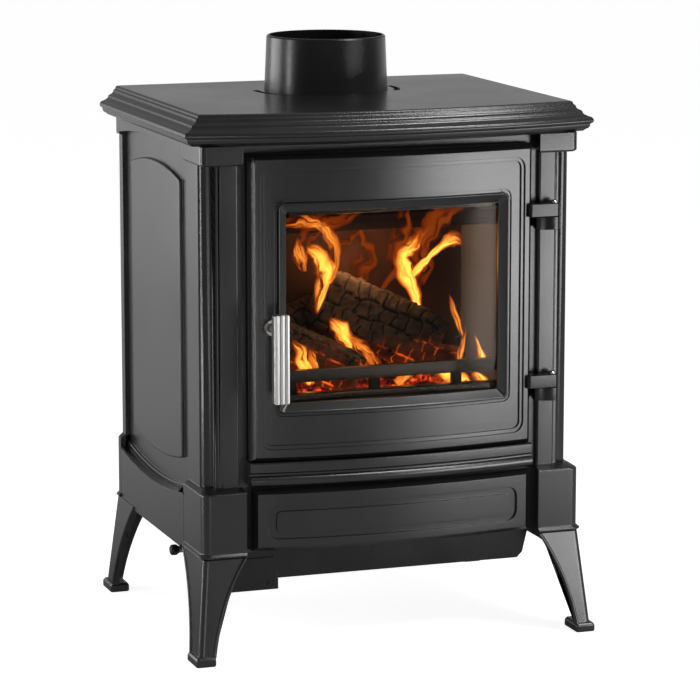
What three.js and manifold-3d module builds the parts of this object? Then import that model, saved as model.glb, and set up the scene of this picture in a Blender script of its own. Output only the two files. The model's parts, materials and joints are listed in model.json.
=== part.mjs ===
// A free-standing cast-iron wood stove with a bowed glass door, an ash drawer and four splayed legs.
// Millimetres, +Z up, +X to the right as seen from the front, and the door faces -Y.
// Lengths across the stove are measured from its middle plane, and depths from the middle of its feet.

import * as THREE from "three";
import { mergeVertices } from "three/addons/utils/BufferGeometryUtils.js";
import Module from "manifold-3d";

const wasm = await Module();
wasm.setup();

// ---------------------------------------------------------------- driving dimensions

// Fits
const seam = 0.3; // between castings that touch
const runFit = 0.6; // round a piece that slides or turns
const castWall = 7;

// Body, in plan
const panelFace = 223; // face of the side panel's field
const columnProud = 5.5; // corner column beyond that field
const capitalProud = 9;
const plinthProud = 12;
const columnFront = -171;
const capitalStep = 9.5; // capital in front of the column
const plinthStep = 15.5;
const bodyBack = 186;
const sideJoint = 108; // where side panel and front column meet
const rearPostDepth = 21;
const columnWidth = 41.5; // across its front, to the outer face
const blockWidth = 53; // across the plinth block's front
const beadedWidth = 23; // of the column's beaded corner
const columnReturn = 18; // depth of the beaded corner
const columnGroove = 0.9;
const columnBeadRise = 4.4;
const capitalRadius = 9;
const plinthRadius = 12;

// Heights
const legHeight = 121.7;
const bodyHeight = 478.2;
const plinthHeight = 76.6;
const shoulderHeight = 3.5;
const flangeHeight = 6;
const flangeProud = 3.5;
const capitalHeight = 22.9;

// Legs
const legSplay = 12; // sideways lean over the leg's height
const legRake = 17; // lean to the front or to the back
const legThickness = 7;
const legTopWidth = 53.5;
const legTopDepth = 82;
const ankleWidth = 20.3;
const ankleDepth = 34.5;
const legFullness = 3.3; // of the two sweeping edges
const footHeight = 11;
const footSize = new THREE.Vector2(24.2, 40);
const footProud = new THREE.Vector2(2.8, 2.5); // beyond the leg's outer faces
const legPadHeight = 8;
const legPadReach = 48;
const legBeadRadius = 2.3;
const boltRadius = 5;
const boltHead = 8.5; // across the corners, from the middle
const boltHeadHeight = 6.4;

// Top plate
const plateBeyond = 3.5; // flat top beyond the side panel's field
const plateRim = 6; // cast edge round the hollow underside
const plateThickness = 9;
const bowRadius = 912; // of the top plate's and the door's curve
const plateSetback = 9.6; // of the flat top's front corner behind the column
const mouldingHeight = 35.2;
const bowSteps = 14;
const plateRibHeight = 10;
const plateRibWidth = 6;

// Flue collar
const flueY = 60;
const flueBase = 75;
const flueTop = 72.2;
const flueRise = 66.4; // above the top plate
const flueWall = 3.5;
const flueFlange = 94;
const flueFlangeHeight = 5;
const slotRadius = 86.5;
const slotWidth = 3;
const slotSweep = 38; // degrees
const slotStart = -29; // degrees, and mirrored on the other side
const flueFacets = 20; // per quarter turn and side of a curve, halved

// Side panel
const fieldThickness = 6;
const raisedPanel = 4.5;
const raisedMargin = new THREE.Vector2(32, 35); // from the front and the rear joint
const archRise = 12;
const raisedTopGap = 50; // below the body's top, at the arch's ends
const raisedFoot = 99; // above the body's bottom, at the sagging edge's ends
const headerArchGap = 19;
const headerArchRise = 10;
const skirtTop = 64.3; // above the body's bottom, at the ends of the curve
const skirtSag = 12.5;
const skirtCove = 6.4; // height of the cove above the skirt
const skirtDrop = 4.5; // lip that hangs between the legs
const skirtBead = 2.6;
const coveBead = 2.2;

// Door
const doorSideGap = 12.8; // between door and column
const doorTopGap = 11.2; // below the body's top
const doorFromBase = 110;
const doorBulge = 27.6; // of the bowed front before the columns
const doorSetback = 3; // of its back behind the columns' front
const edgeBevel = new THREE.Vector2(5.5, 8); // width and depth
const panelInset = new THREE.Vector2(11.5, 14.5); // from the door's side and from its top and bottom
const panelStep = 4.5; // width of the stepped edge
const panelDepth = 4.5;
const doorStile = 43.2; // beside the window
const glassFoot = 67.5; // above the door's bottom
const glassTopGap = 67;
const windowSlope = new THREE.Vector2(8.5, 5.5); // width and depth of the sloping reveal
const windowBead = 3;
const windowGroove = 3.5;
const grooveDepth = 6.5;
const beadDepth = 2.4; // of the bead's crest behind the bow
const glassLap = 6;
const glassThickness = 4;
const retainerHeight = 16;
const retainerThickness = 2;
const ropeMargin = 10.2; // from the door's side
const ropeRadius = 4;
const ropeInset = 12; // from the door's top and bottom

// Hinges
const hingeOffset = new THREE.Vector2(25.8, -11); // from the door's edge and the columns' front
const knuckleRadius = 7.5;
const knuckleHeight = 15.5;
const pinRadius = 3.6;
const pinHeadRadius = 4.6;
const pinHeadHeight = 3;
const leafReach = 34; // from the pin towards the door
const upperHinge = 381; // top of the leaf above the body's bottom
const lowerHinge = 176.5;

// Handle and latch
const handleMargin = 19.6; // of the handle's middle from the window
const handleZ = 268; // above the body's bottom
const handleLength = 103;
const handleAbove = 20; // of the bar above its pivot
const handleWidth = 19;
const handleThickness = 12;
const handleFront = -224;
const handleGroove = 1.6;
const spindleRadius = 5;
const bushRadius = 9.5;
const camLength = 17;
const camWidth = 10;
const camThickness = 6;
const latchClearance = 1.5;

// Front frame and sill
const sideAir = 15; // between firebox and side panel
const frameThickness = 7;
const fireMargin = 10; // fire opening beyond the window
const fireFoot = 168; // above the body's bottom
const fireTopGap = 67;
const ashMargin = 13; // from the drawer's side to the ash opening
const ashOpening = new THREE.Vector2(9, 75); // lower and upper edge above the body's bottom
const sillBeyond = 1.3; // beyond the door, at each side
const sillFoot = 81.5; // above the body's bottom
const sillBead = 12;
const sillGroove = 3;
const sillBand = 13;

// Ash drawer
const drawerSideGap = 1.2; // drawer within the door's width, at each side
const drawerFoot = 3.8; // above the body's bottom
const drawerHeight = 73.7;
const drawerWall = 8;
const drawerRing = new THREE.Vector2(18, 14.5); // from the side and from the top and bottom
const ringWidth = new THREE.Vector2(9.5, 8);
const ringDepth = 3;
const panWidth = 300;
const panDepth = 205;
const panHeight = 54;
const sheet = 2;

// Base, firebox and its linings
const baseThickness = 6;
const shellWall = 4;
const shellBack = 150;
const shellTopGap = 6.2;
const inletSize = new THREE.Vector2(75, 16); // half-width and half-depth of the air inlet
const shelfHeight = 138; // above the body's bottom
const shelfThickness = 6;
const grateHalf = 112;
const grateDepth = 138;
const grateThickness = 12;
const grateFront = -96;
const grateSlots = 11;
const liningBack = 45;
const liningThickness = 25;
const liningHeight = 218;
const baffleThickness = 13;
const baffleFront = -62;
const retainerY = -114;
const retainerBar = new THREE.Vector2(14.5, 11); // heights of the upper and lower bar
const retainerBars = new THREE.Vector2(188, 164); // their lower edges above the body's bottom
const retainerDepth = 9;
const retainerPost = 11.5;
const retainerSpacing = 104;

// Heat shields and the fixing bracket
const trayMargin = 55; // from the plinth's face
const traySlope = 13.5;
const trayFront = -159;
const trayDepth = 34.5;
const trayBack = 150;
const shieldHalf = 165;
const shieldSlotHalf = 70;
const shieldSlotPitch = 18;
const shieldFoot = 40;
const shieldTopGap = 60;
const shieldGap = 12;
const shieldThickness = 1.5;
const bracketLeft = -215;
const bracketRight = -136;
const bracketDrop = 47;
const bracketHoleRadius = 3.5;

// Air control
const airY = -87;
const airDrop = 9; // of the rod's axis below the body
const airRodRadius = 4;
const airKnobRadius = 6.5;
const airKnobLength = 10;
const airKnobReach = 10.5; // beyond the plinth's face
const shutterX = -90; // left end of the closed shutter
const shutterWidth = 80;
const shutterDepth = 44;
const shutterThickness = 3;
const railWall = 3;
const airTravel = 30;

// ---------------------------------------------------------------- places worked out from them

const bodyBottom = legHeight + seam;
const bodyTop = bodyBottom + bodyHeight;
const plinthTop = bodyBottom + plinthHeight;
const capitalBottom = bodyTop - capitalHeight;
const plateBottom = bodyTop + seam;
const plateTop = plateBottom + mouldingHeight;
const columnSide = panelFace + columnProud;
const columnInner = columnSide - columnWidth;
const columnFlat = columnSide - beadedWidth;
const capitalSide = panelFace + capitalProud;
const plinthSide = panelFace + plinthProud;
const plinthFront = columnFront - plinthStep;
const blockInner = plinthSide - blockWidth;
const plateHalf = panelFace + plateBeyond;
const plateCornerY = columnFront + plateSetback;
const bowCentre = plateCornerY + Math.sqrt(bowRadius ** 2 - plateHalf ** 2);
const frameFront = columnFront + castWall + seam;
const frameBack = frameFront + frameThickness;
const rearJoint = bodyBack - rearPostDepth;
const doorHalf = columnInner - doorSideGap;
const doorCrown = columnFront - doorBulge;
const doorBack = columnFront + doorSetback;
const doorBottom = bodyBottom + doorFromBase;
const doorTop = bodyTop - doorTopGap;
const glassHalf = doorHalf - doorStile;
const ropeHalf = doorHalf - ropeMargin;
const glassBottom = doorBottom + glassFoot;
const glassTop = doorTop - glassTopGap;
const bowAtGlass = bowRadius - Math.sqrt(bowRadius ** 2 - glassHalf ** 2);
const glassFront = doorCrown + bowAtGlass + panelDepth + windowSlope.y;
const glassY = Math.max(glassFront, doorBack - 2 * glassThickness) + seam;
const hingeX = doorHalf + hingeOffset.x;
const hingeY = columnFront + hingeOffset.y;
const handleX = -glassHalf - handleMargin;
const handleHeight = bodyBottom + handleZ;
const frameHalf = panelFace - fieldThickness - sideAir;
const fireHalf = glassHalf + fireMargin;
const sillHalf = doorHalf + sillBeyond;
const drawerHalf = doorHalf - drawerSideGap;
const ashHalf = drawerHalf - ashMargin;
const baseHalf = panelFace - fieldThickness - seam;
const baseTop = bodyBottom + baseThickness;
const shellBottom = baseTop + seam;
const shellTop = bodyTop - shellTopGap;
const shellFront = frameBack + seam;
const shelfTop = bodyBottom + shelfHeight;
const liningBottom = shelfTop + seam;
const liningTop = liningBottom + liningHeight;
const liningOuter = frameHalf - shellWall - seam;
const liningInner = liningOuter - liningThickness;
const sillBottom = bodyBottom + sillFoot;
const sillTop = sillBottom + sillBead + sillGroove + sillBand;
const drawerBottom = bodyBottom + drawerFoot;
const drawerTop = drawerBottom + drawerHeight;
const fireBottom = bodyBottom + fireFoot;
const fireTop = bodyTop - fireTopGap;
const airZ = bodyBottom - airDrop;
const airKnobEnd = -plinthSide - airKnobReach;
const trayHalf = plinthSide - trayMargin;
const trayBottomHalf = trayHalf - traySlope;

// ---------------------------------------------------------------- geometry helpers

const V2 = (x, y) => new THREE.Vector2(x, y);
const V3 = (x, y, z) => new THREE.Vector3(x, y, z);

// A closed geometry as a solid, with its faces turned outwards.
function solid(geometry) {
  const bare = geometry.clone();
  bare.deleteAttribute("normal");
  bare.deleteAttribute("uv");
  const merged = mergeVertices(bare, 1e-4);
  const triVerts = new Uint32Array(merged.index.array);
  const vertProperties = merged.attributes.position.array;
  if (signedVolume(vertProperties, triVerts) < 0) triVerts.reverse();
  return new wasm.Manifold(new wasm.Mesh({ numProp: 3, vertProperties, triVerts }));
}

function signedVolume(p, t) {
  let sum = 0;
  const corner = (i) => V3(p[3 * t[i]], p[3 * t[i] + 1], p[3 * t[i] + 2]);
  for (let i = 0; i < t.length; i += 3) {
    sum += corner(i).dot(corner(i + 1).cross(corner(i + 2)));
  }
  return sum;
}

function geometryOf(body) {
  const mesh = body.getMesh();
  const positions = new Float32Array(mesh.numVert * 3);
  for (let i = 0; i < mesh.numVert; i++) {
    positions.set(mesh.vertProperties.subarray(i * mesh.numProp, i * mesh.numProp + 3), 3 * i);
  }
  const geometry = new THREE.BufferGeometry();
  geometry.setAttribute("position", new THREE.BufferAttribute(positions, 3));
  geometry.setIndex(new THREE.BufferAttribute(mesh.triVerts, 1));
  return geometry;
}

// The same body moved, turned or mirrored by a matrix.
function placed(body, matrix) {
  return solid(geometryOf(body).applyMatrix4(matrix));
}
const moved = (body, x, y, z) => placed(body, new THREE.Matrix4().makeTranslation(x, y, z));
const mirroredX = (body) => placed(body, new THREE.Matrix4().makeScale(-1, 1, 1));
const mirroredY = (body) => placed(body, new THREE.Matrix4().makeScale(1, -1, 1));

const union = (bodies) => bodies.reduce((all, body) => all.add(body));

function extruded(shape, depth, curveSegments) {
  return new THREE.ExtrudeGeometry(shape, { depth, bevelEnabled: false, curveSegments });
}

// An outline in x and y, from z0 to z1.
function prismZ(shape, z0, z1, curves = 3) {
  return solid(extruded(shape, z1 - z0, curves).translate(0, 0, z0));
}

// An outline in x and z, from y0 to y1.
function prismY(shape, y0, y1, curves = 3) {
  return solid(extruded(shape, y1 - y0, curves).rotateX(Math.PI / 2).translate(0, y1, 0));
}

// An outline in y and z, from x0 to x1.
function prismX(shape, x0, x1, curves = 3) {
  const turn = new THREE.Matrix4().makeBasis(V3(0, 1, 0), V3(0, 0, 1), V3(1, 0, 0));
  return solid(extruded(shape, x1 - x0, curves).applyMatrix4(turn).translate(x0, 0, 0));
}

function box(x0, x1, y0, y1, z0, z1) {
  const geometry = new THREE.BoxGeometry(x1 - x0, y1 - y0, z1 - z0);
  return solid(geometry.translate((x0 + x1) / 2, (y0 + y1) / 2, (z0 + z1) / 2));
}

function polygon(points) {
  return new THREE.Shape(points.map(([x, y]) => V2(x, y)));
}

function roundedRect(x0, x1, y0, y1, radius) {
  const shape = new THREE.Shape();
  shape.moveTo(x0 + radius, y0);
  shape.lineTo(x1 - radius, y0);
  shape.absarc(x1 - radius, y0 + radius, radius, -Math.PI / 2, 0);
  shape.lineTo(x1, y1 - radius);
  shape.absarc(x1 - radius, y1 - radius, radius, 0, Math.PI / 2);
  shape.lineTo(x0 + radius, y1);
  shape.absarc(x0 + radius, y1 - radius, radius, Math.PI / 2, Math.PI);
  shape.lineTo(x0, y0 + radius);
  shape.absarc(x0 + radius, y0 + radius, radius, Math.PI, 1.5 * Math.PI);
  return shape;
}

function disc(x, y, radius) {
  return new THREE.Shape().absarc(x, y, radius, 0, 2 * Math.PI);
}

// A turned piece about a vertical axis at x, y: the outline is in radius and height, and closes on itself.
function turned(outline, x, y, facets) {
  const closed = [...outline, outline[0]];
  return solid(new THREE.LatheGeometry(closed, facets).rotateX(Math.PI / 2).translate(x, y, 0));
}

// A round bar along X or Y.
function barX(radius, x0, x1, y, z, curves = 8) {
  return prismX(disc(y, z, radius), x0, x1, curves);
}
function barY(radius, y0, y1, x, z, curves = 8) {
  return prismY(disc(x, z, radius), y0, y1, curves);
}

// Rings of points with equal counts, skinned one to the next and capped at both ends.
// flat gives a ring's two coordinates in its own plane.
function loft(rings, flat) {
  const count = rings[0].length;
  const positions = rings.flat().flatMap((p) => [p.x, p.y, p.z]);
  const index = [];
  const last = (rings.length - 1) * count;
  for (let ring = 0; ring + 1 < rings.length; ring++) {
    for (let i = 0; i < count; i++) {
      const a = ring * count + i;
      const b = ring * count + ((i + 1) % count);
      index.push(a, b, b + count, a, b + count, a + count);
    }
  }
  const clockwise = THREE.ShapeUtils.isClockWise(rings[0].map(flat));
  const cap = (ring, start, front) => {
    for (const [a, b, c] of THREE.ShapeUtils.triangulateShape(ring.map(flat), [])) {
      const corners = front ? [a, b, c] : [c, b, a];
      index.push(...corners.map((i) => i + start));
    }
  };
  cap(rings[0], 0, clockwise);
  cap(rings.at(-1), last, !clockwise);
  const geometry = new THREE.BufferGeometry();
  geometry.setAttribute("position", new THREE.BufferAttribute(new Float32Array(positions), 3));
  geometry.setIndex(index);
  return solid(geometry);
}
const inPlan = (p) => V2(p.x, p.y);
const inSection = (p) => V2(p.y, p.z);

// A round bead that follows a curve.
function bead(curve, radius, steps, sides = 3) {
  const section = disc(0, 0, radius);
  return solid(new THREE.ExtrudeGeometry(section, { steps, extrudePath: curve, curveSegments: sides }));
}

// ---------------------------------------------------------------- the bowed front

const bowStations = Array.from({ length: bowSteps + 1 }, (_, i) => (2 * i) / bowSteps - 1);
const bowY = (x) => doorCrown + bowRadius - Math.sqrt(bowRadius ** 2 - x ** 2);

// A slab whose front follows the door's bow. The section lists depth behind the bow and height, upwards.
function bowed(section, halfWidth, back) {
  const rings = bowStations.map((share) => {
    const x = share * halfWidth;
    const front = section.map((p) => V3(x, bowY(x) + p.x, p.y));
    return [...front, V3(x, back, section.at(-1).y), V3(x, back, section[0].y)];
  });
  return loft(rings, inSection);
}

// What lies in front of the surface at that depth behind the bow, within an outline in x and z.
function bowedCut(outline, depth, halfWidth) {
  const inner = bowed(
    [V2(depth, doorBottom - bodyHeight), V2(depth, doorTop + bodyHeight)],
    halfWidth,
    bodyBack,
  );
  return prismY(outline, doorCrown - panelDepth, doorBack).subtract(inner);
}

// A bowed front with bevelled edges all round.
function bowedBlank(halfWidth, z0, z1, back) {
  const bevel = [V2(edgeBevel.y, z0), V2(0, z0 + edgeBevel.x), V2(0, z1 - edgeBevel.x), V2(edgeBevel.y, z1)];
  const edge = bowY(halfWidth);
  const plan = polygon([
    [-halfWidth, back],
    [-halfWidth, edge + edgeBevel.y],
    [-halfWidth + edgeBevel.x, edge],
    [-halfWidth + edgeBevel.x, doorCrown - edgeBevel.y],
    [halfWidth - edgeBevel.x, doorCrown - edgeBevel.y],
    [halfWidth - edgeBevel.x, edge],
    [halfWidth, edge + edgeBevel.y],
    [halfWidth, back],
  ]);
  return bowed(bevel, halfWidth, back).intersect(prismZ(plan, z0 - 1, z1 + 1));
}

// ---------------------------------------------------------------- top plate and flue collar

// The plate's outline, grown by an offset: bowed in front, straight at the sides and cut flush behind.
function plateOutline(offset, back, z) {
  const half = plateHalf + offset;
  const front = bowStations.map((share) => {
    const x = share * half;
    return V3(x, bowCentre - Math.sqrt((bowRadius + offset) ** 2 - x ** 2), z);
  });
  return [...front, V3(half, back, z), V3(-half, back, z)];
}

// The moulded edge, as overhang beyond the flat top and drop below it.
function mouldingProfile() {
  const edge = new THREE.Path();
  edge.moveTo(0, 0);
  edge.quadraticCurveTo(4.5, 0, 4.5, 4);
  edge.lineTo(6.5, 5);
  edge.quadraticCurveTo(7, 9.5, 11, 10.5);
  edge.lineTo(13, 11.5);
  edge.quadraticCurveTo(13.5, 15.5, 17, 16.5);
  edge.lineTo(19, 17.5);
  edge.quadraticCurveTo(24.5, 18.5, 24.5, 22.5);
  edge.quadraticCurveTo(24.5, 25.5, 21, 26);
  edge.quadraticCurveTo(21.5, 31.5, 16.5, 33);
  edge.lineTo(14, mouldingHeight);
  return edge.getPoints(3);
}

function flueSlot(side) {
  const [a, b] = [slotStart, slotStart + slotSweep].map(THREE.MathUtils.degToRad);
  const slot = new THREE.Shape();
  slot.absarc(0, 0, slotRadius + slotWidth / 2, a, b);
  slot.absarc(0, 0, slotRadius - slotWidth / 2, b, a, true);
  const cut = moved(prismZ(slot, plateBottom, plateTop + 1), 0, flueY, 0);
  return side > 0 ? cut : mirroredX(cut);
}

function topPlate() {
  const edge = mouldingProfile().map((p) => plateOutline(p.x, bodyBack, plateTop - p.y)).reverse();
  const underside = plateTop - plateThickness;
  const hollowBack = bodyBack - plateRim;
  const hollow = [plateBottom - 1, underside].map((z) => plateOutline(-plateRim, hollowBack, z));
  let plate = loft(edge, inPlan).subtract(loft(hollow, inPlan));
  const ribX = (plateHalf + flueFlange) / 2;
  for (const x of [-ribX, ribX]) {
    const rib = [x - plateRibWidth / 2, x + plateRibWidth / 2, plateCornerY, hollowBack + 1];
    plate = plate.add(box(...rib, underside - plateRibHeight, underside + 1));
  }
  plate = plate.subtract(
    moved(prismZ(disc(0, 0, flueBase + seam), plateBottom, plateTop + 1, flueFacets), 0, flueY, 0),
  );
  return plate.subtract(flueSlot(1)).subtract(flueSlot(-1));
}

function flueCollar() {
  const foot = shellTop + seam;
  const rim = plateTop + flueRise;
  const lip = 1.5;
  const outline = [
    V2(flueBase - flueWall, foot),
    V2(flueFlange, foot),
    V2(flueFlange, foot + flueFlangeHeight),
    V2(flueBase, foot + flueFlangeHeight),
    V2(flueBase, plateTop),
    V2(flueTop, rim - lip),
    V2(flueTop - lip, rim),
    V2(flueTop - flueWall, rim),
  ];
  return turned(outline, 0, flueY, 2 * flueFacets);
}

// ---------------------------------------------------------------- corner posts

// An L in plan: its front and side faces meet in a rounded corner, and its walls end at inner and at sideEnd.
function cornerRing({ inner, side, front, radius, sideEnd, innerSide, innerFront }, z) {
  const shape = new THREE.Shape();
  shape.moveTo(inner, front);
  shape.lineTo(side - radius, front);
  shape.absarc(side - radius, front + radius, radius, -Math.PI / 2, 0);
  shape.lineTo(side, sideEnd);
  shape.lineTo(innerSide, sideEnd);
  shape.lineTo(innerSide, innerFront);
  shape.lineTo(inner, innerFront);
  return shape.getPoints(3).slice(0, -1).map((p) => V3(p.x, p.y, z));
}

// The column's plan, with two quarter beads and their fillets round its corner where it is ornamental.
function columnPlan(front, sideEnd, beaded) {
  const from = V2(columnFlat, front);
  const to = V2(columnSide, front + columnReturn);
  const outward = V2(to.y - from.y, from.x - to.x).normalize();
  const at = (share, out) => from.clone().lerp(to, share).addScaledVector(outward, out);
  const plan = new THREE.Shape();
  plan.moveTo(columnInner, front);
  plan.lineTo(from.x, from.y);
  if (beaded) {
    for (const [start, end] of [[0.07, 0.42], [0.52, 0.93]]) {
      const [foot, crest, tail] = [
        at(start, -columnGroove),
        at((start + end) / 2, columnBeadRise),
        at(end, -columnGroove),
      ];
      plan.lineTo(foot.x, foot.y);
      plan.quadraticCurveTo(crest.x, crest.y, tail.x, tail.y);
    }
    plan.lineTo(to.x, to.y);
  } else {
    plan.lineTo(columnSide - capitalRadius, front);
    plan.absarc(columnSide - capitalRadius, front + capitalRadius, capitalRadius, -Math.PI / 2, 0);
  }
  plan.lineTo(columnSide, sideEnd);
  plan.lineTo(columnSide - castWall, sideEnd);
  if (beaded) {
    plan.lineTo(columnSide - castWall, front + columnReturn + castWall / 2);
    plan.lineTo(columnFlat - castWall / 2, front + castWall);
  } else {
    plan.lineTo(columnSide - castWall, front + castWall);
  }
  plan.lineTo(columnInner, front + castWall);
  return plan;
}

// One post, standing at +X and facing -Y: plinth block, shoulder, column and capital in one casting.
function cornerPost({ front, capitalOut, plinthOut, sideEnd, beaded }) {
  const column = {
    inner: columnInner,
    side: columnSide,
    front,
    radius: capitalRadius,
    sideEnd,
    innerSide: columnSide - castWall,
    innerFront: front + castWall,
  };
  const plinth = (proud, z) =>
    cornerRing(
      {
        inner: blockInner,
        side: plinthSide + proud,
        front: front - plinthOut - (plinthOut > 0 ? proud : 0),
        radius: plinthRadius,
        sideEnd,
        innerSide: plinthSide - castWall,
        innerFront: front - plinthOut + castWall,
      },
      z,
    );
  const block = loft(
    [
      plinth(1, bodyBottom),
      plinth(flangeProud, bodyBottom + 2),
      plinth(flangeProud, bodyBottom + flangeHeight - 3),
      plinth(0, bodyBottom + flangeHeight),
      plinth(0, plinthTop - 1.5),
      plinth(-1.5, plinthTop),
      cornerRing({ ...column, inner: blockInner }, plinthTop + shoulderHeight),
    ],
    inPlan,
  );
  const capital = (proud, z) =>
    cornerRing(
      {
        ...column,
        inner: blockInner,
        side: capitalSide + proud,
        front: front - capitalOut - (capitalOut > 0 ? proud : 0),
      },
      z,
    );
  const head = loft(
    [capital(-2, capitalBottom), capital(0, capitalBottom + 2), capital(0, bodyTop)],
    inPlan,
  );
  const shaft = prismZ(
    columnPlan(front, sideEnd, beaded),
    plinthTop + shoulderHeight - 1.5,
    capitalBottom + 1,
  );
  const inside = front + castWall;
  const returns = [
    box(blockInner, columnInner, front - plinthOut + 1, inside, bodyBottom, plinthTop),
    box(
      columnInner - 1,
      columnInner + castWall / 2,
      front + 1,
      inside,
      plinthTop - castWall,
      capitalBottom + 1,
    ),
  ];
  return union([block, shaft, head, ...returns]);
}

const frontPost = () =>
  cornerPost({
    front: columnFront,
    capitalOut: capitalStep,
    plinthOut: plinthStep,
    sideEnd: -sideJoint,
    beaded: true,
  });

const rearPost = () =>
  mirroredY(
    cornerPost({ front: -bodyBack, capitalOut: 0, plinthOut: 0, sideEnd: -rearJoint, beaded: false }),
  );

// ---------------------------------------------------------------- side panels and back

// A curve along y from one joint to the other: its ends at height z, its middle lifted by rise.
function jointCurve(y0, y1, z, rise, x) {
  return new THREE.QuadraticBezierCurve3(V3(x, y0, z), V3(x, (y0 + y1) / 2, z + 2 * rise), V3(x, y1, z));
}

// The right-hand side casting: field, raised panel with arched ends, arched header, skirt and its beads.
function sidePanel() {
  const y0 = -sideJoint + seam;
  const y1 = rearJoint - seam;
  const middle = (y0 + y1) / 2;
  const inner = panelFace - fieldThickness;
  const field = box(inner, panelFace, y0, y1, bodyBottom, bodyTop);

  const raised = new THREE.Shape();
  const [a, b] = [y0 + raisedMargin.x, y1 - raisedMargin.y];
  const raisedTop = bodyTop - raisedTopGap;
  const raisedBottom = bodyBottom + raisedFoot;
  raised.moveTo(a, raisedBottom);
  raised.quadraticCurveTo((a + b) / 2, raisedBottom - 2 * archRise, b, raisedBottom);
  raised.lineTo(b, raisedTop);
  raised.quadraticCurveTo((a + b) / 2, raisedTop + 2 * archRise, a, raisedTop);
  const bevel = 1.5;
  const raisedGeometry = new THREE.ExtrudeGeometry(raised, {
    depth: raisedPanel,
    bevelThickness: bevel,
    bevelSize: bevel,
    bevelOffset: -bevel,
    bevelSegments: 1,
    curveSegments: 10,
  });
  const turn = new THREE.Matrix4().makeBasis(V3(0, 1, 0), V3(0, 0, 1), V3(1, 0, 0));
  const plaque = solid(raisedGeometry.applyMatrix4(turn).translate(panelFace - bevel, 0, 0));

  const header = new THREE.Shape();
  const archEnd = bodyTop - headerArchGap;
  header.moveTo(y0, archEnd);
  header.quadraticCurveTo(middle, archEnd + 2 * headerArchRise, y1, archEnd);
  header.lineTo(y1, bodyTop);
  header.lineTo(y0, bodyTop);

  const smile = (rise) => {
    const shape = new THREE.Shape();
    shape.moveTo(y1, bodyBottom);
    shape.lineTo(y1, bodyBottom + skirtTop + rise);
    shape.quadraticCurveTo(
      middle,
      bodyBottom + skirtTop + rise - 2 * skirtSag,
      y0,
      bodyBottom + skirtTop + rise,
    );
    shape.lineTo(y0, bodyBottom);
    return shape;
  };
  const skirt = prismX(smile(0), inner, plinthSide, 6);
  const cove = prismX(smile(skirtCove), inner, panelFace + columnProud / 2, 6);
  const lipEnd = bodyBack - legTopDepth - seam;
  const lip = box(inner, plinthSide, -lipEnd, lipEnd, bodyBottom - skirtDrop, bodyBottom + 1);

  const edge = (rise, x) => jointCurve(y0, y1, bodyBottom + skirtTop + rise, -skirtSag, x);
  const between = box(0, 2 * plinthSide, y0, y1, 0, bodyTop);
  return union([
    field,
    plaque,
    prismX(header, inner, capitalSide, 6),
    skirt,
    cove,
    lip,
    bead(edge(-coveBead / 2, plinthSide - coveBead), skirtBead, 12),
    bead(edge(skirtCove, panelFace + coveBead / 2), coveBead, 12),
  ]).intersect(between);
}

function backPlate() {
  const half = blockInner - seam;
  const plate = box(-half, half, bodyBack - castWall, bodyBack, bodyBottom, bodyTop);
  const ribs = [-1, 1].map((side) => {
    const x = side * half * 0.55;
    return box(
      x - castWall / 2,
      x + castWall / 2,
      bodyBack - 2 * castWall,
      bodyBack - 1,
      baseTop + castWall,
      shellTop,
    );
  });
  return union([plate, ...ribs]);
}

function rearShield() {
  const y = bodyBack + shieldGap;
  const z0 = bodyBottom + shieldFoot;
  const z1 = bodyTop - shieldTopGap;
  let shield = prismY(roundedRect(-shieldHalf, shieldHalf, z0, z1, 12), y - shieldThickness, y);
  const foldDepth = 8;
  for (const side of [-1, 1]) {
    const x = side * (shieldHalf - shieldThickness / 2);
    shield = shield.add(
      box(
        x - shieldThickness / 2,
        x + shieldThickness / 2,
        y - foldDepth,
        y - shieldThickness / 2,
        z0 + 12,
        z1 - 12,
      ),
    );
    for (const z of [z0 + shieldFoot, z1 - shieldFoot]) {
      shield = shield.add(barY(9, bodyBack + seam, y - shieldThickness / 2, side * shieldHalf * 0.7, z, 4));
    }
  }
  for (let row = -2; row <= 2; row++) {
    const z = (z0 + z1) / 2 + row * shieldSlotPitch;
    const slot = roundedRect(-shieldSlotHalf, shieldSlotHalf, z - 3, z + 3, 2.9);
    shield = shield.subtract(prismY(slot, y - 2 * shieldThickness, y + 1, 1));
  }
  return shield;
}

// ---------------------------------------------------------------- legs

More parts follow.
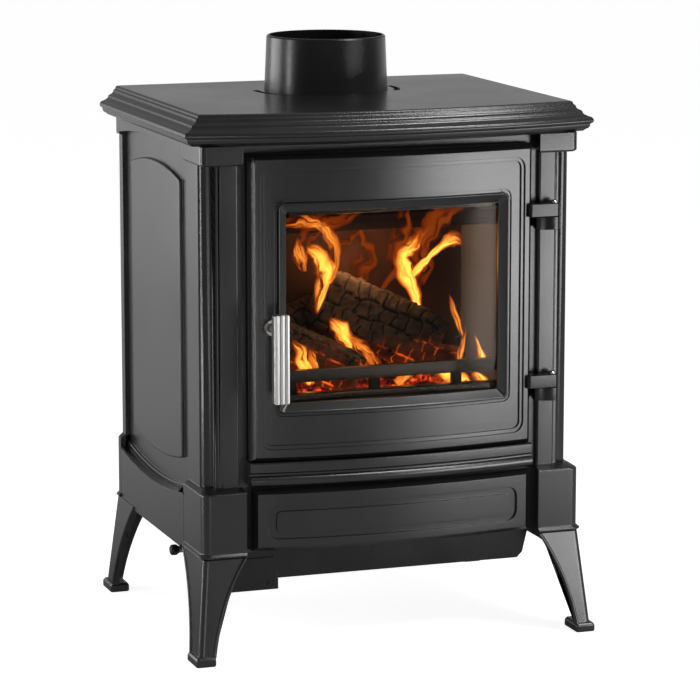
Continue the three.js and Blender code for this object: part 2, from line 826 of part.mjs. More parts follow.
// One leg at +X facing -Y: an L-shaped casting whose free edges sweep in to the ankle.
// It leans outwards onto its foot.
function leg(front) {
  const side = plinthSide;
  const plan = {
    inner: side - legTopWidth,
    side,
    front,
    radius: legThickness + 1,
    sideEnd: front + legTopDepth,
    innerSide: side - legThickness,
    innerFront: front + legThickness,
  };
  let casting = loft([cornerRing(plan, footHeight - 4), cornerRing(plan, legHeight)], inPlan);
  const sweepIn = (top, ankle, fullness) =>
    new THREE.QuadraticBezierCurve(
      V2(top, legHeight),
      V2(ankle + fullness, legHeight * 0.6),
      V2(ankle, footHeight - 6),
    );
  const frontEdge = sweepIn(side - legTopWidth, side - ankleWidth, -legFullness);
  const sideEdge = sweepIn(front + legTopDepth, front + ankleDepth, legFullness);
  const cutter = (curve, outside) => {
    const points = curve.getPoints(9).map((p) => [p.x, p.y]);
    return polygon(
      [...points, [outside, footHeight - 6], [outside, legHeight + 1], [points[0][0], legHeight + 1]],
    );
  };
  casting = casting.subtract(prismY(cutter(frontEdge, 0), front - 1, front + legThickness + 1));
  casting = casting.subtract(prismX(cutter(sideEdge, -front), side - legThickness - 1, side + 1));
  const along = (curve, place) => new THREE.CatmullRomCurve3(curve.getPoints(6).map(place));
  casting = casting.add(bead(along(frontEdge, (p) => V3(p.x + legBeadRadius, front, p.y)), legBeadRadius, 8));
  casting = casting.add(bead(along(sideEdge, (p) => V3(side, p.x - legBeadRadius, p.y)), legBeadRadius, 8));
  casting = casting.intersect(box(0, 2 * side, 2 * front, -front, footHeight - 2, legHeight));

  const lean = new THREE.Matrix4().makeShear(0, 0, 0, 0, 0, 0);
  lean.elements[8] = -legSplay / legHeight;
  lean.elements[9] = legRake / legHeight;
  lean.elements[12] = legSplay;
  lean.elements[13] = -legRake;
  casting = placed(casting, lean);

  const footX = side + legSplay + footProud.x;
  const footY = front - legRake - footProud.y;
  const footRing = (inset, z) => {
    const outline = roundedRect(
      footX - footSize.x + inset,
      footX - inset,
      footY + inset,
      footY + footSize.y - inset,
      2.5,
    );
    return outline.getPoints(1).slice(0, -1).map((p) => V3(p.x, p.y, z));
  };
  const foot = loft(
    [footRing(0.8, 0), footRing(0, 1.2), footRing(0, footHeight - 3), footRing(2, footHeight)],
    inPlan,
  );

  const pad = box(
    side - legPadReach,
    side - legThickness + 1,
    front + legThickness - 1,
    front + legPadReach,
    legHeight - legPadHeight,
    legHeight,
  );
  const hole = moved(
    prismZ(disc(0, 0, boltRadius + seam), -legPadHeight * 2, 1, 4),
    legBolt(front).x,
    legBolt(front).y,
    legHeight,
  );
  return union([casting, foot, pad]).subtract(hole);
}

const legBolt = (front) => V2(plinthSide - legPadReach / 1.6, front + legPadReach / 1.6);

function bolt(front) {
  const { x, y } = legBolt(front);
  const headTop = legHeight - legPadHeight - seam;
  const head = new THREE.CylinderGeometry(boltHead, boltHead, boltHeadHeight, 6).rotateX(Math.PI / 2);
  head.translate(x, y, headTop - boltHeadHeight / 2);
  return solid(head).add(moved(prismZ(disc(0, 0, boltRadius), headTop - 1, baseTop, 4), x, y, 0));
}

// ---------------------------------------------------------------- front frame, sill and base

function frontFrame() {
  const plate = box(-frameHalf, frameHalf, frameFront, frameBack, shellBottom, bodyTop);
  const fire = roundedRect(-fireHalf, fireHalf, fireBottom, fireTop, 10);
  const ash = roundedRect(-ashHalf, ashHalf, bodyBottom + ashOpening.x, bodyBottom + ashOpening.y, 6);
  const [y0, y1] = [frameFront - 1, frameBack + 1];
  const pocket = box(
    handleX - bushRadius,
    -fireHalf + 1,
    y0,
    y1,
    handleHeight - bushRadius,
    handleHeight + camLength + latchClearance,
  );
  return plate.subtract(prismY(fire, y0, y1)).subtract(prismY(ash, y0, y1)).subtract(pocket);
}

// The sill under the door: a flat band over a groove and a rounded ledge.
function frontSill() {
  const ledge = -3.5;
  const rim = new THREE.Path();
  rim.moveTo(4, sillBottom);
  rim.quadraticCurveTo(ledge, sillBottom, ledge, sillBottom + sillBead / 2);
  rim.quadraticCurveTo(ledge, sillBottom + sillBead, 3, sillBottom + sillBead);
  rim.lineTo(3, sillBottom + sillBead + sillGroove);
  rim.lineTo(0.5, sillBottom + sillBead + sillGroove + 1);
  rim.lineTo(0.5, sillTop - 1.5);
  rim.lineTo(2, sillTop);
  const solidSill = bowed(rim.getPoints(3), sillHalf, frameFront - seam);
  const hollow = box(
    -sillHalf + castWall,
    sillHalf - castWall,
    bowY(sillHalf) + castWall,
    frameFront,
    sillBottom - 1,
    sillTop - castWall,
  );
  return solidSill.subtract(hollow);
}

// The base carries posts, panels and firebox, and the runners of the air shutter.
function basePlate() {
  const front = frameFront;
  let base = box(-baseHalf, baseHalf, front, bodyBack - castWall - seam, bodyBottom, baseTop);
  for (const bodySide of [-1, 1]) {
    for (const legFront of [plinthFront, -bodyBack]) {
      const at = legBolt(legFront);
      const y = legFront === plinthFront ? at.y : -at.y;
      base = base.subtract(
        moved(prismZ(disc(0, 0, boltRadius + seam), bodyBottom - 1, baseTop + 1, 4), bodySide * at.x, y, 0),
      );
    }
  }
  const lipReach = 4;
  const shutterTop = bodyBottom - seam;
  const lipTop = shutterTop - shutterThickness - seam;
  const [x0, x1] = [shutterRest.x - airTravel - 5, shutterRest.y + 5];
  for (const side of [-1, 1]) {
    const wallY = airY + side * (shutterDepth / 2 + runFit + railWall / 2);
    const lipY = wallY - side * (railWall / 2 + lipReach / 2 - 0.5);
    base = base.add(
      box(x0, x1, wallY - railWall / 2, wallY + railWall / 2, lipTop - railWall, bodyBottom + 1),
    );
    base = base.add(box(x0, x1, lipY - lipReach / 2, lipY + lipReach / 2, lipTop - railWall, lipTop));
  }
  for (let i = 0; i < 3; i++) {
    const x = shutterRest.x + shutterWidth * (0.2 + 0.3 * i);
    base = base.subtract(
      prismZ(roundedRect(x - 6, x + 6, airY - 14, airY + 14, 5), bodyBottom - 1, baseTop + 1, 2),
    );
  }
  return base;
}

// ---------------------------------------------------------------- firebox

const shellInner = frameHalf - shellWall - seam;
const shellInside = shellBack - shellWall - seam;

// The firebox is folded and welded from six sheets; floor, shelf and roof lie between the sides.
function fireboxSide() {
  return box(frameHalf - shellWall, frameHalf, shellFront, shellBack, shellBottom, shellTop);
}

function fireboxBack() {
  return box(-shellInner, shellInner, shellBack - shellWall, shellBack, shellBottom, shellTop);
}

function fireboxRoof() {
  const roof = box(-shellInner, shellInner, shellFront, shellInside, shellTop - shellWall, shellTop);
  const flue = prismZ(
    disc(0, 0, flueBase - flueWall),
    shellTop - 2 * shellWall,
    shellTop + 1,
    flueFacets / 2,
  );
  return roof.subtract(moved(flue, 0, flueY, 0));
}

function fireboxFloor() {
  const floor = box(-shellInner, shellInner, shellFront, shellInside, shellBottom, shellBottom + shellWall);
  const inlet = box(
    -inletSize.x,
    inletSize.x,
    airY - inletSize.y,
    airY + inletSize.y,
    shellBottom - 1,
    shellBottom + 2 * shellWall,
  );
  return floor.subtract(inlet);
}

function hearthShelf() {
  const shelf = box(-shellInner, shellInner, shellFront, shellInside, shelfTop - shelfThickness, shelfTop);
  const opening = box(
    -grateHalf + shellWall,
    grateHalf - shellWall,
    grateFront + shellWall,
    grateFront + grateDepth - shellWall,
    shelfTop - 2 * shelfThickness,
    shelfTop + 1,
  );
  return shelf.subtract(opening);
}

function sideLining() {
  return box(
    liningInner,
    liningOuter,
    shellFront + seam,
    liningBack + liningThickness,
    liningBottom,
    liningTop,
  );
}

function backLining() {
  const half = liningInner - seam;
  return box(-half, half, liningBack, liningBack + liningThickness, liningBottom, liningTop);
}

// The duct behind the back lining: a folded channel, open below and above.
function rearDuct() {
  const half = liningInner - 20;
  const [y0, y1] = [liningBack + liningThickness + seam, shellInside];
  const top = liningTop - 20;
  const channel = box(-half, half, y0, y1, liningBottom, top);
  return channel.subtract(box(-half + sheet, half - sheet, y0 - 1, y1 - sheet, liningBottom - 1, top + 1));
}

function bafflePlate() {
  const z0 = liningTop + seam;
  const [y0, y1] = [baffleFront, liningBack + liningThickness];
  const section = new THREE.Shape();
  section.moveTo(y0 - 8, z0 + 10);
  section.lineTo(y0, z0);
  section.lineTo(y1, z0);
  section.lineTo(y1, z0 + baffleThickness);
  section.lineTo(y0, z0 + baffleThickness);
  section.lineTo(y0 - 8, z0 + baffleThickness + 7);
  return prismX(section, -liningOuter, liningOuter);
}

function grate() {
  const z0 = shelfTop + seam;
  const rest = box(-grateHalf, grateHalf, grateFront, grateFront + grateDepth, z0, z0 + 4);
  const inset = 2 * shellWall;
  const body = box(
    -grateHalf + shellWall + runFit,
    grateHalf - shellWall - runFit,
    grateFront + shellWall + runFit,
    grateFront + grateDepth - shellWall - runFit,
    z0 - grateThickness / 2,
    z0 + 1,
  );
  const pitch = (2 * (grateHalf - inset)) / grateSlots;
  let bars = rest.add(body);
  for (let i = 0; i < grateSlots; i++) {
    const x = -grateHalf + inset + pitch * (i + 0.5);
    const slot = roundedRect(
      x - pitch * 0.27,
      x + pitch * 0.27,
      grateFront + 2 * inset,
      grateFront + grateDepth - 2 * inset,
      4,
    );
    bars = bars.subtract(prismZ(slot, z0 - grateThickness, z0 + grateThickness, 1));
  }
  return bars;
}

// The log retainer: two rails on three uprights, whose feet stand on the shelf.
function logRetainer() {
  const half = liningInner - 2;
  const y0 = retainerY - retainerDepth / 2;
  const y1 = retainerY + retainerDepth / 2;
  const upper = bodyBottom + retainerBars.x;
  const lower = bodyBottom + retainerBars.y;
  const rails = [
    prismY(roundedRect(-half, half, upper, upper + retainerBar.x, 3), y0, y1, 1),
    prismY(roundedRect(-half, half, lower, lower + retainerBar.y, 3), y0, y1, 1),
  ];
  const posts = [-1, 0, 1].flatMap((i) => {
    const x = i * retainerSpacing;
    return [
      box(x - retainerPost / 2, x + retainerPost / 2, y0, y1, liningBottom, upper + 1),
      box(x - retainerPost / 2 - 3, x + retainerPost / 2 + 3, y0 - 6, y1, liningBottom, liningBottom + 5),
    ];
  });
  return union([...rails, ...posts]);
}

// ---------------------------------------------------------------- under the base

const shutterRest = V2(shutterX, shutterX + shutterWidth);

// The heat shield below the base: a pressed tray with sloping ends.
function baseShield() {
  const top = legHeight;
  const bottom = top - trayDepth;
  const slope = trayHalf - trayBottomHalf;
  const ring = (half, inset, z) => [
    V3(-half + inset, trayFront + inset, z),
    V3(half - inset, trayFront + inset, z),
    V3(half - inset, trayBack - inset, z),
    V3(-half + inset, trayBack - inset, z),
  ];
  const outer = [
    ring(trayBottomHalf, 0, bottom),
    ring(trayBottomHalf + slope / 2, 0, bottom + slope / 2),
    ring(trayHalf, 0, top),
  ];
  const inner = [
    ring(trayBottomHalf, sheet, bottom + sheet),
    ring(trayBottomHalf + slope / 2, sheet, bottom + slope / 2 + sheet),
    ring(trayHalf, sheet, top + 1),
  ];
  const port = barX(airRodRadius + runFit, -trayHalf - 1, -trayBottomHalf + 2, airY, airZ, 4);
  const bowl = loft(outer, inPlan).subtract(loft(inner, inPlan));
  return bowl.subtract(port);
}

// The fixing bracket hangs in front of the shield and runs behind the leg, with a dimple for a floor screw.
function fixingBracket() {
  const y1 = trayFront - seam;
  const top = legHeight - legPadHeight - seam;
  const underBolt = top - boltHeadHeight - 2 * seam;
  const bottom = legHeight - bracketDrop;
  const padEnd = legPadReach - plinthSide + seam;
  const outline = polygon([
    [bracketLeft, underBolt],
    [bracketLeft, bottom],
    [bracketRight, bottom],
    [bracketRight, bottom + 12],
    [bracketRight - 5, top],
    [padEnd, top],
    [padEnd, underBolt],
  ]);
  const plate = prismY(outline, y1 - sheet, y1);
  return plate.subtract(
    barY(bracketHoleRadius, y1 - 2 * sheet, y1 - sheet * 0.4, bracketRight - 15, bottom + 8.5, 4),
  );
}

function airShutter() {
  const top = bodyBottom - seam - 0.1;
  const plate = box(
    shutterRest.x,
    shutterRest.y,
    airY - shutterDepth / 2,
    airY + shutterDepth / 2,
    top - shutterThickness,
    top,
  );
  const lugLength = 14;
  const lug = box(
    shutterRest.x + 4,
    shutterRest.x + 4 + lugLength,
    airY - airRodRadius - 4,
    airY + airRodRadius + 4,
    airZ - airRodRadius - 3,
    top - shutterThickness + 1,
  );
  let shutter = plate.add(lug).subtract(
    barX(airRodRadius + seam, shutterRest.x, shutterRest.x + lugLength, airY, airZ, 5),
  );
  for (let i = 0; i < 3; i++) {
    const x = shutterRest.x + shutterWidth * (0.34 + 0.29 * i);
    shutter = shutter.subtract(
      prismZ(roundedRect(x - 5, x + 5, airY - 13, airY + 13, 4), top - 2 * shutterThickness, top + 1, 2),
    );
  }
  return shutter;
}

function airRod() {
  return barX(airRodRadius, airKnobEnd + airKnobLength / 2, shutterRest.x + 12, airY, airZ, 5);
}

function airKnob() {
  const grip = [
    V2(0, airKnobEnd),
    V2(airKnobRadius - 1.5, airKnobEnd),
    V2(airKnobRadius, airKnobEnd + 2),
    V2(airKnobRadius, airKnobEnd + airKnobLength - 3),
    V2(airKnobRadius - 2, airKnobEnd + airKnobLength),
    V2(0, airKnobEnd + airKnobLength),
  ];
  const turn = new THREE.Matrix4().makeBasis(V3(0, 1, 0), V3(1, 0, 0), V3(0, 0, -1));
  const round = solid(new THREE.LatheGeometry(grip, 16).applyMatrix4(turn).translate(0, airY, airZ));
  return round.subtract(barX(airRodRadius + seam, airKnobEnd + airKnobLength / 2 - seam, 0, airY, airZ, 5));
}

// ---------------------------------------------------------------- door

const windowRect = (grow, radius) =>
  roundedRect(-glassHalf - grow, glassHalf + grow, glassBottom - grow, glassTop + grow, radius);

// A raised or sunk band between two outlines in x and z.
function band(outer, inner) {
  outer.holes.push(inner);
  return outer;
}

function doorFrame() {
  const inset = (extra) =>
    roundedRect(
      -doorHalf + panelInset.x + extra,
      doorHalf - panelInset.x - extra,
      doorBottom + panelInset.y + extra,
      doorTop - panelInset.y - extra,
      13 - extra,
    );
  const slope = windowSlope.x;
  const beadEdge = slope + windowBead;
  let door = bowedBlank(doorHalf, doorBottom, doorTop, doorBack);
  door = door.subtract(bowedCut(inset(0), panelDepth / 2, doorHalf));
  door = door.subtract(bowedCut(band(inset(panelStep), windowRect(beadEdge, 7)), panelDepth, doorHalf));
  door = door.subtract(
    bowedCut(band(windowRect(beadEdge + windowGroove, 9), windowRect(beadEdge, 7)), grooveDepth, doorHalf),
  );
  door = door.subtract(windowReveal());
  door = door.subtract(prismY(windowRect(glassLap + seam, 3), glassY - seam, doorBack + 1));
  door = door.subtract(ropeGroove());
  const pocketHalf = glassHalf - 10;
  const pocketY = bowY(pocketHalf) + castWall + panelDepth;
  const pocketTop = doorTop - ropeInset - ropeRadius - 6;
  door = door.subtract(
    box(-pocketHalf, pocketHalf, pocketY, doorBack + 1, glassTop + retainerHeight, pocketTop),
  );
  const pocketBottom = doorBottom + ropeInset + ropeRadius + 6;
  door = door.subtract(
    box(-pocketHalf, pocketHalf, pocketY, doorBack + 1, pocketBottom, glassBottom - retainerHeight),
  );
  const boreEnd = bowY(handleX);
  door = door.subtract(barY(spindleRadius + seam, boreEnd - 1, doorBack + 1, handleX, handleHeight, 5));
  return door.subtract(barY(bushRadius + seam, doorCrown, boreEnd + 5, handleX, handleHeight, 6));
}

// A ring of points on the bow at some depth. Its level edges are divided, so that they bend with the bow.
function bowedRing(outline, depth) {
  const corners = outline.getPoints(2).slice(0, -1);
  return corners.flatMap((p, i) => {
    const next = corners[(i + 1) % corners.length];
    const steps = Math.abs(next.x - p.x) > glassHalf ? bowSteps : 1;
    return Array.from({ length: steps }, (_, step) => {
      const at = p.clone().lerp(next, step / steps);
      return V3(at.x, bowY(at.x) + depth, at.y);
    });
  });
}

// What is cut away for the window: the round top of its bead, the sloping reveal and the opening.
function windowReveal() {
  const slope = windowSlope.x;
  const edge = slope + windowBead;
  const foot = panelDepth + windowSlope.y;
  const rings = [
    [edge, -panelDepth],
    [edge, panelDepth],
    [edge - windowBead * 0.25, beadDepth + 0.6],
    [edge - windowBead * 0.5, beadDepth],
    [edge - windowBead * 0.8, beadDepth + 0.6],
    [slope, panelDepth - 0.5],
    [0, foot],
    [0, foot + doorBack - doorCrown],
  ];
  const made = rings.map(([grow, depth]) => bowedRing(windowRect(grow, 3 + grow / 3), depth));
  return loft(made, (p) => V2(p.x, p.z));
}

function ropePath(grow) {
  const z0 = doorBottom + ropeInset - grow;
  const z1 = doorTop - ropeInset + grow;
  return roundedRect(-ropeHalf - grow, ropeHalf + grow, z0, z1, 10 + grow);
}

function ropeGroove() {
  return prismY(
    band(ropePath(ropeRadius + seam), ropePath(-ropeRadius - seam)),
    doorBack - ropeRadius,
    doorBack + 1,
  );
}

// The rope seal lies in the groove and reaches to the front frame.
function doorRope() {
  const [y0, y1] = [doorBack - ropeRadius + seam, frameFront - seam];
  const chamfer = 1.6;
  const ring = (grow, y) => ropePath(grow).getPoints(2).slice(0, -1).map((p) => V3(p.x, y, p.y));
  const skin = (grow) => [
    ring(grow - Math.sign(grow) * chamfer, y0),
    ring(grow, y0 + chamfer),
    ring(grow, y1 - chamfer),
    ring(grow - Math.sign(grow) * chamfer, y1),
  ];
  const flat = (p) => V2(p.x, p.z);
  const core = skin(-ropeRadius);
  core.unshift(core[0].map((p) => V3(p.x, y0 - 1, p.z)));
  core.push(core.at(-1).map((p) => V3(p.x, y1 + 1, p.z)));
  return loft(skin(ropeRadius), flat).subtract(loft(core, flat));
}

function doorGlass() {
  return prismY(windowRect(glassLap, 3), glassY, glassY + glassThickness);
}

function glassRetainer(z) {
  const [y0, y1] = [glassY + glassThickness + seam, doorBack + seam + retainerThickness];
  const half = glassHalf - 6;
  const overlap = glassLap + seam;
  const up = z > (glassBottom + glassTop) / 2 ? 1 : -1;
  const inner = z - up * 6;
  const lap = z + up * (overlap - 1);
  const outer = z + up * (retainerHeight - 2);
  const order = (a, b) => [Math.min(a, b), Math.max(a, b)];
  const clamp = box(-half, half, y0, y1, ...order(inner, lap));
  const flange = box(-half, half, doorBack + seam, y1, ...order(inner, outer));
  return clamp.add(flange);
}

// ---------------------------------------------------------------- hinges

// A knuckle round the pin and an arm that leaves it towards -X.
function hingeLeaf(z0, arm, bore) {
  const barrel = prismZ(disc(0, 0, knuckleRadius), z0, z0 + knuckleHeight, 6);
  const leaf = moved(barrel, hingeX, hingeY, 0).add(prismZ(arm, z0, z0 + knuckleHeight, 2));
  return leaf.subtract(moved(prismZ(disc(0, 0, bore), z0 - 1, z0 + knuckleHeight + 1, 8), hingeX, hingeY, 0));
}

function doorLeaf(top) {
  const front = hingeY - knuckleRadius;
  const armBack = bowY(hingeX - leafReach) - seam;
  const arm = polygon([
    [hingeX - leafReach, armBack],
    [hingeX - leafReach, front + 3],
    [hingeX - leafReach + 3, front],
    [hingeX, front],
    [hingeX, hingeY + knuckleRadius - 2],
    [doorHalf + seam, hingeY + knuckleRadius + 3],
    [doorHalf + seam, bowY(doorHalf) + edgeBevel.y],
    [doorHalf - edgeBevel.x + seam, armBack],
  ]);
  return hingeLeaf(top - knuckleHeight, arm, pinRadius + seam);
}

function postLeaf(top) {
  const foot = columnFront - seam;
  const arm = polygon([
    [doorHalf + 4, foot],
    [doorHalf + 4, hingeY],
    [hingeX - 12, hingeY - knuckleRadius + 1],
    [hingeX, hingeY - knuckleRadius],
    [hingeX + knuckleRadius, hingeY],
    [hingeX + knuckleRadius, foot],
  ]);
  return hingeLeaf(top - 2 * knuckleHeight - seam, arm, pinRadius + seam);
}

function hingePin(top) {
  const head = top + seam;
  const foot = top - 2 * knuckleHeight - seam;
  const outline = [
    V2(0, foot + 1),
    V2(pinRadius, foot + 1),
    V2(pinRadius, head),
    V2(pinHeadRadius, head),
    V2(pinHeadRadius, head + pinHeadHeight * 0.5),
    V2(pinHeadRadius * 0.6, head + pinHeadHeight),
    V2(0, head + pinHeadHeight),
  ];
  return turned(outline, hingeX, hingeY, 16);
}

// ---------------------------------------------------------------- handle and latch

// The grip: a flat bar with two grooves down its front, rounded at its edges.
function handleBar() {
  const half = handleWidth / 2;
  const back = handleFront + handleThickness;
  const third = handleWidth / 6;
  const plan = new THREE.Shape();
  const round = 2;
  plan.moveTo(-half, back - round);
  plan.lineTo(-half, handleFront + round);
  plan.quadraticCurveTo(-half, handleFront, -half + round, handleFront);
  for (const x of [-third, third]) {
    plan.lineTo(x - handleGroove, handleFront);
    plan.quadraticCurveTo(x, handleFront + 2 * handleGroove, x + handleGroove, handleFront);
  }
  plan.lineTo(half - round, handleFront);
  plan.quadraticCurveTo(half, handleFront, half, handleFront + round);
  plan.lineTo(half, back - round);
  plan.lineTo(half - round, back);
  plan.lineTo(-half + round, back);
  const top = handleHeight + handleAbove;
  const grip = moved(prismZ(plan, top - handleLength, top), handleX, 0, 0);
  const side = roundedRect(handleX - half, handleX + half, top - handleLength, top, 2.5);
  const trimmed = grip.intersect(prismY(side, handleFront - 1, back + 1));
  return trimmed.subtract(barY(spindleRadius + seam, back - 5 - seam, back + 1, handleX, handleHeight, 5));
}

function handleSpindle() {
  const back = handleFront + handleThickness;
  return barY(spindleRadius, back - 5, camFront + camThickness, handleX, handleHeight, 5);
}

function handleBush() {
  const face = bowY(handleX);
  const ring = barY(bushRadius, face - 2.5, face + 5 - seam, handleX, handleHeight, 6);
  return ring.subtract(barY(spindleRadius + runFit, face - 4, face + 6, handleX, handleHeight, 5));
}

const camFront = frameBack + runFit;

// The latch cam: its nose stands up behind the front frame when the handle hangs down.
function latchCam() {
  const half = camWidth / 2;
  const outline = new THREE.Shape();
  outline.moveTo(handleX + half, handleHeight);
  outline.lineTo(handleX + half, handleHeight + camLength - 2);
  outline.lineTo(handleX + half - 3, handleHeight + camLength);
  outline.lineTo(handleX - half, handleHeight + camLength);
  outline.lineTo(handleX - half, handleHeight);
  const nose = prismY(outline, camFront, camFront + camThickness);
  const hub = barY(bushRadius - 1.5, camFront, camFront + camThickness, handleX, handleHeight, 5);
  return nose.add(hub).subtract(
    barY(spindleRadius + seam, camFront - 1, camFront + camThickness + 1, handleX, handleHeight, 5),
  );
}

// The keeper: a bracket on the back of the front frame, just above the nose.
function latchKeeper() {
  const z0 = handleHeight + camLength + latchClearance;
  const [x0, x1] = [handleX - 12, handleX + 8];
  const plate = box(x0, x1, frameBack + seam, frameBack + seam + 3, z0, z0 + 26);
  return plate.add(box(x0, x1, frameBack + seam, camFront + camThickness + 3, z0, z0 + 4));
}

// ---------------------------------------------------------------- ash drawer

function drawerFront() {
  const middle = (drawerBottom + drawerTop) / 2;
  const back = frameFront - seam;
  const ring = (extraX, extraZ, radius) =>
    roundedRect(
      -drawerHalf + drawerRing.x + extraX,
      drawerHalf - drawerRing.x - extraX,
      drawerBottom + drawerRing.y + extraZ,
      drawerTop - drawerRing.y - extraZ - (middle - drawerBottom) * 0.1,
      radius,
    );
  let front = bowedBlank(drawerHalf, drawerBottom, drawerTop, back);
  front = front.subtract(
    bowedCut(band(ring(0, 0, 12), ring(ringWidth.x, ringWidth.y, 6)), ringDepth, drawerHalf),
  );
  const hollow = bowed(
    [
      V2(drawerWall + ringDepth, drawerBottom + drawerWall),
      V2(drawerWall + ringDepth, drawerTop - drawerWall),
    ],
    drawerHalf,
    back + 1,
  );
  const inside = box(
    -drawerHalf + drawerWall,
    drawerHalf - drawerWall,
    doorCrown,
    back + 1,
    drawerBottom,
    drawerTop,
  );
  return front.subtract(hollow.intersect(inside));
}

function ashPan() {
  const y0 = frameFront + runFit;
  const z0 = shellBottom + shellWall + seam;
  const half = panWidth / 2;
  const pan = box(-half, half, y0, y0 + panDepth, z0, z0 + panHeight);
  const hollow = box(
    -half + sheet,
    half - sheet,
    y0 + sheet,
    y0 + panDepth - sheet,
    z0 + sheet,
    z0 + panHeight + 1,
  );
  const tongueHeight = 16;
  const tongue = box(-half * 0.6, half * 0.6, frameFront - 6, y0 + sheet, z0 + 10, z0 + 10 + tongueHeight);
  return pan.subtract(hollow).add(tongue);
}

// ---------------------------------------------------------------- materials

const finish = (color, roughness, metalness) => new THREE.MeshStandardMaterial(
  { color, roughness, metalness },
);
const castIron = () => finish(0x3a3b3d, 0.55, 0.2);
const blackSteel = () => finish(0x1c1c1d, 0.5, 0.3);
const glossBlack = () => finish(0x141415, 0.25, 0.4);
const stainless = () => finish(0xcfcfcb, 0.2, 1);
const zincSteel = () => finish(0x9a9a96, 0.4, 0.9);
const firebrick = () => finish(0x8a8072, 0.95, 0);
const glass = () => new THREE.MeshStandardMaterial(
  { color: 0x2a2622, roughness: 0.05, transparent: true, opacity: 0.35 },
);
const ropeFibre = () => finish(0x34322f, 1, 0);

// ---------------------------------------------------------------- assembly

const stove = new THREE.Group();
stove.name = "wood_stove";

function addPiece(name, body, material) {
  const geometry = geometryOf(body);
  const mesh = new THREE.Mesh(geometry.toNonIndexed(), material);
  mesh.geometry.computeVertexNormals();
  mesh.name = name;
  stove.add(mesh);
}

addPiece("top_plate", topPlate(), castIron());
addPiece("flue_collar", flueCollar(), blackSteel());

const posts = { front: frontPost(), rear: rearPost() };
const legs = { front: leg(plinthFront), rear: mirroredY(leg(-bodyBack)) };
const legBolts = { front: bolt(plinthFront), rear: mirroredY(bolt(-bodyBack)) };
for (const place of ["front", "rear"]) {
  addPiece(`${place}_post_right`, posts[place], castIron());
  addPiece(`${place}_post_left`, mirroredX(posts[place]), castIron());
  addPiece(`${place}_leg_right`, legs[place], castIron());
  addPiece(`${place}_leg_left`, mirroredX(legs[place]), castIron());
  addPiece(`${place}_leg_bolt_right`, legBolts[place], zincSteel());
  addPiece(`${place}_leg_bolt_left`, mirroredX(legBolts[place]), zincSteel());
}

const panel = sidePanel();
addPiece("side_panel_right", panel, castIron());
addPiece("side_panel_left", mirroredX(panel), castIron());
addPiece("back_plate", backPlate(), castIron());
addPiece("rear_heat_shield", rearShield(), blackSteel());
addPiece("base_plate", basePlate(), castIron());
addPiece("front_frame", frontFrame(), castIron());
addPiece("front_sill", frontSill(), castIron());

const fireboxWall = fireboxSide();
addPiece("firebox_side_right", fireboxWall, blackSteel());
addPiece("firebox_side_left", mirroredX(fireboxWall), blackSteel());
addPiece("firebox_back", fireboxBack(), blackSteel());
addPiece("firebox_roof", fireboxRoof(), blackSteel());
addPiece("firebox_floor", fireboxFloor(), blackSteel());
addPiece("hearth_shelf", hearthShelf(), blackSteel());
const lining = sideLining();
addPiece("side_lining_right", lining, firebrick());
addPiece("side_lining_left", mirroredX(lining), firebrick());
addPiece("back_lining", backLining(), firebrick());
addPiece("rear_air_duct", rearDuct(), blackSteel());
addPiece("baffle_plate", bafflePlate(), firebrick());
addPiece("grate", grate(), castIron());
addPiece("log_retainer", logRetainer(), castIron());

addPiece("base_heat_shield", baseShield(), blackSteel());
addPiece("fixing_bracket", fixingBracket(), blackSteel());
addPiece("air_shutter", airShutter(), blackSteel());
addPiece("air_rod", airRod(), zincSteel());
addPiece("air_knob", airKnob(), glossBlack());

addPiece("door_frame", doorFrame(), castIron());
addPiece("door_glass", doorGlass(), glass());
addPiece("door_rope_seal", doorRope(), ropeFibre());
addPiece("glass_retainer_top", glassRetainer(glassTop), blackSteel());
addPiece("glass_retainer_bottom", glassRetainer(glassBottom), blackSteel());

const hinges = {
  upper: bodyBottom + upperHinge + knuckleHeight,
  lower: bodyBottom + lowerHinge + knuckleHeight,
};
for (const [place, top] of Object.entries(hinges)) {
  addPiece(`${place}_door_hinge`, doorLeaf(top), glossBlack());
  addPiece(`${place}_post_hinge`, postLeaf(top), glossBlack());
  addPiece(`${place}_hinge_pin`, hingePin(top), stainless());
}

addPiece("handle_bar", handleBar(), stainless());
addPiece("handle_spindle", handleSpindle(), stainless());
addPiece("handle_bush", handleBush(), zincSteel());
addPiece("latch_cam", latchCam(), zincSteel());
addPiece("latch_keeper", latchKeeper(), zincSteel());

addPiece("ash_drawer_front", drawerFront(), castIron());
addPiece("ash_pan", ashPan(), blackSteel());

// The origin lies on the floor, under the middle of the stove's bounding box.
const bounds = new THREE.Box3().setFromObject(stove);
stove.position.y = -(bounds.min.y + bounds.max.y) / 2;

export default stove;
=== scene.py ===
"""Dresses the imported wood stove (castings, sheet metal, window, handle, fire) and sets its studio."""

import json
import math
import random

import bmesh
import bpy
from bpy.props import FloatProperty, FloatVectorProperty, IntProperty, PointerProperty
from bpy.types import Operator, Panel, PropertyGroup
from mathutils import Matrix, Vector, noise

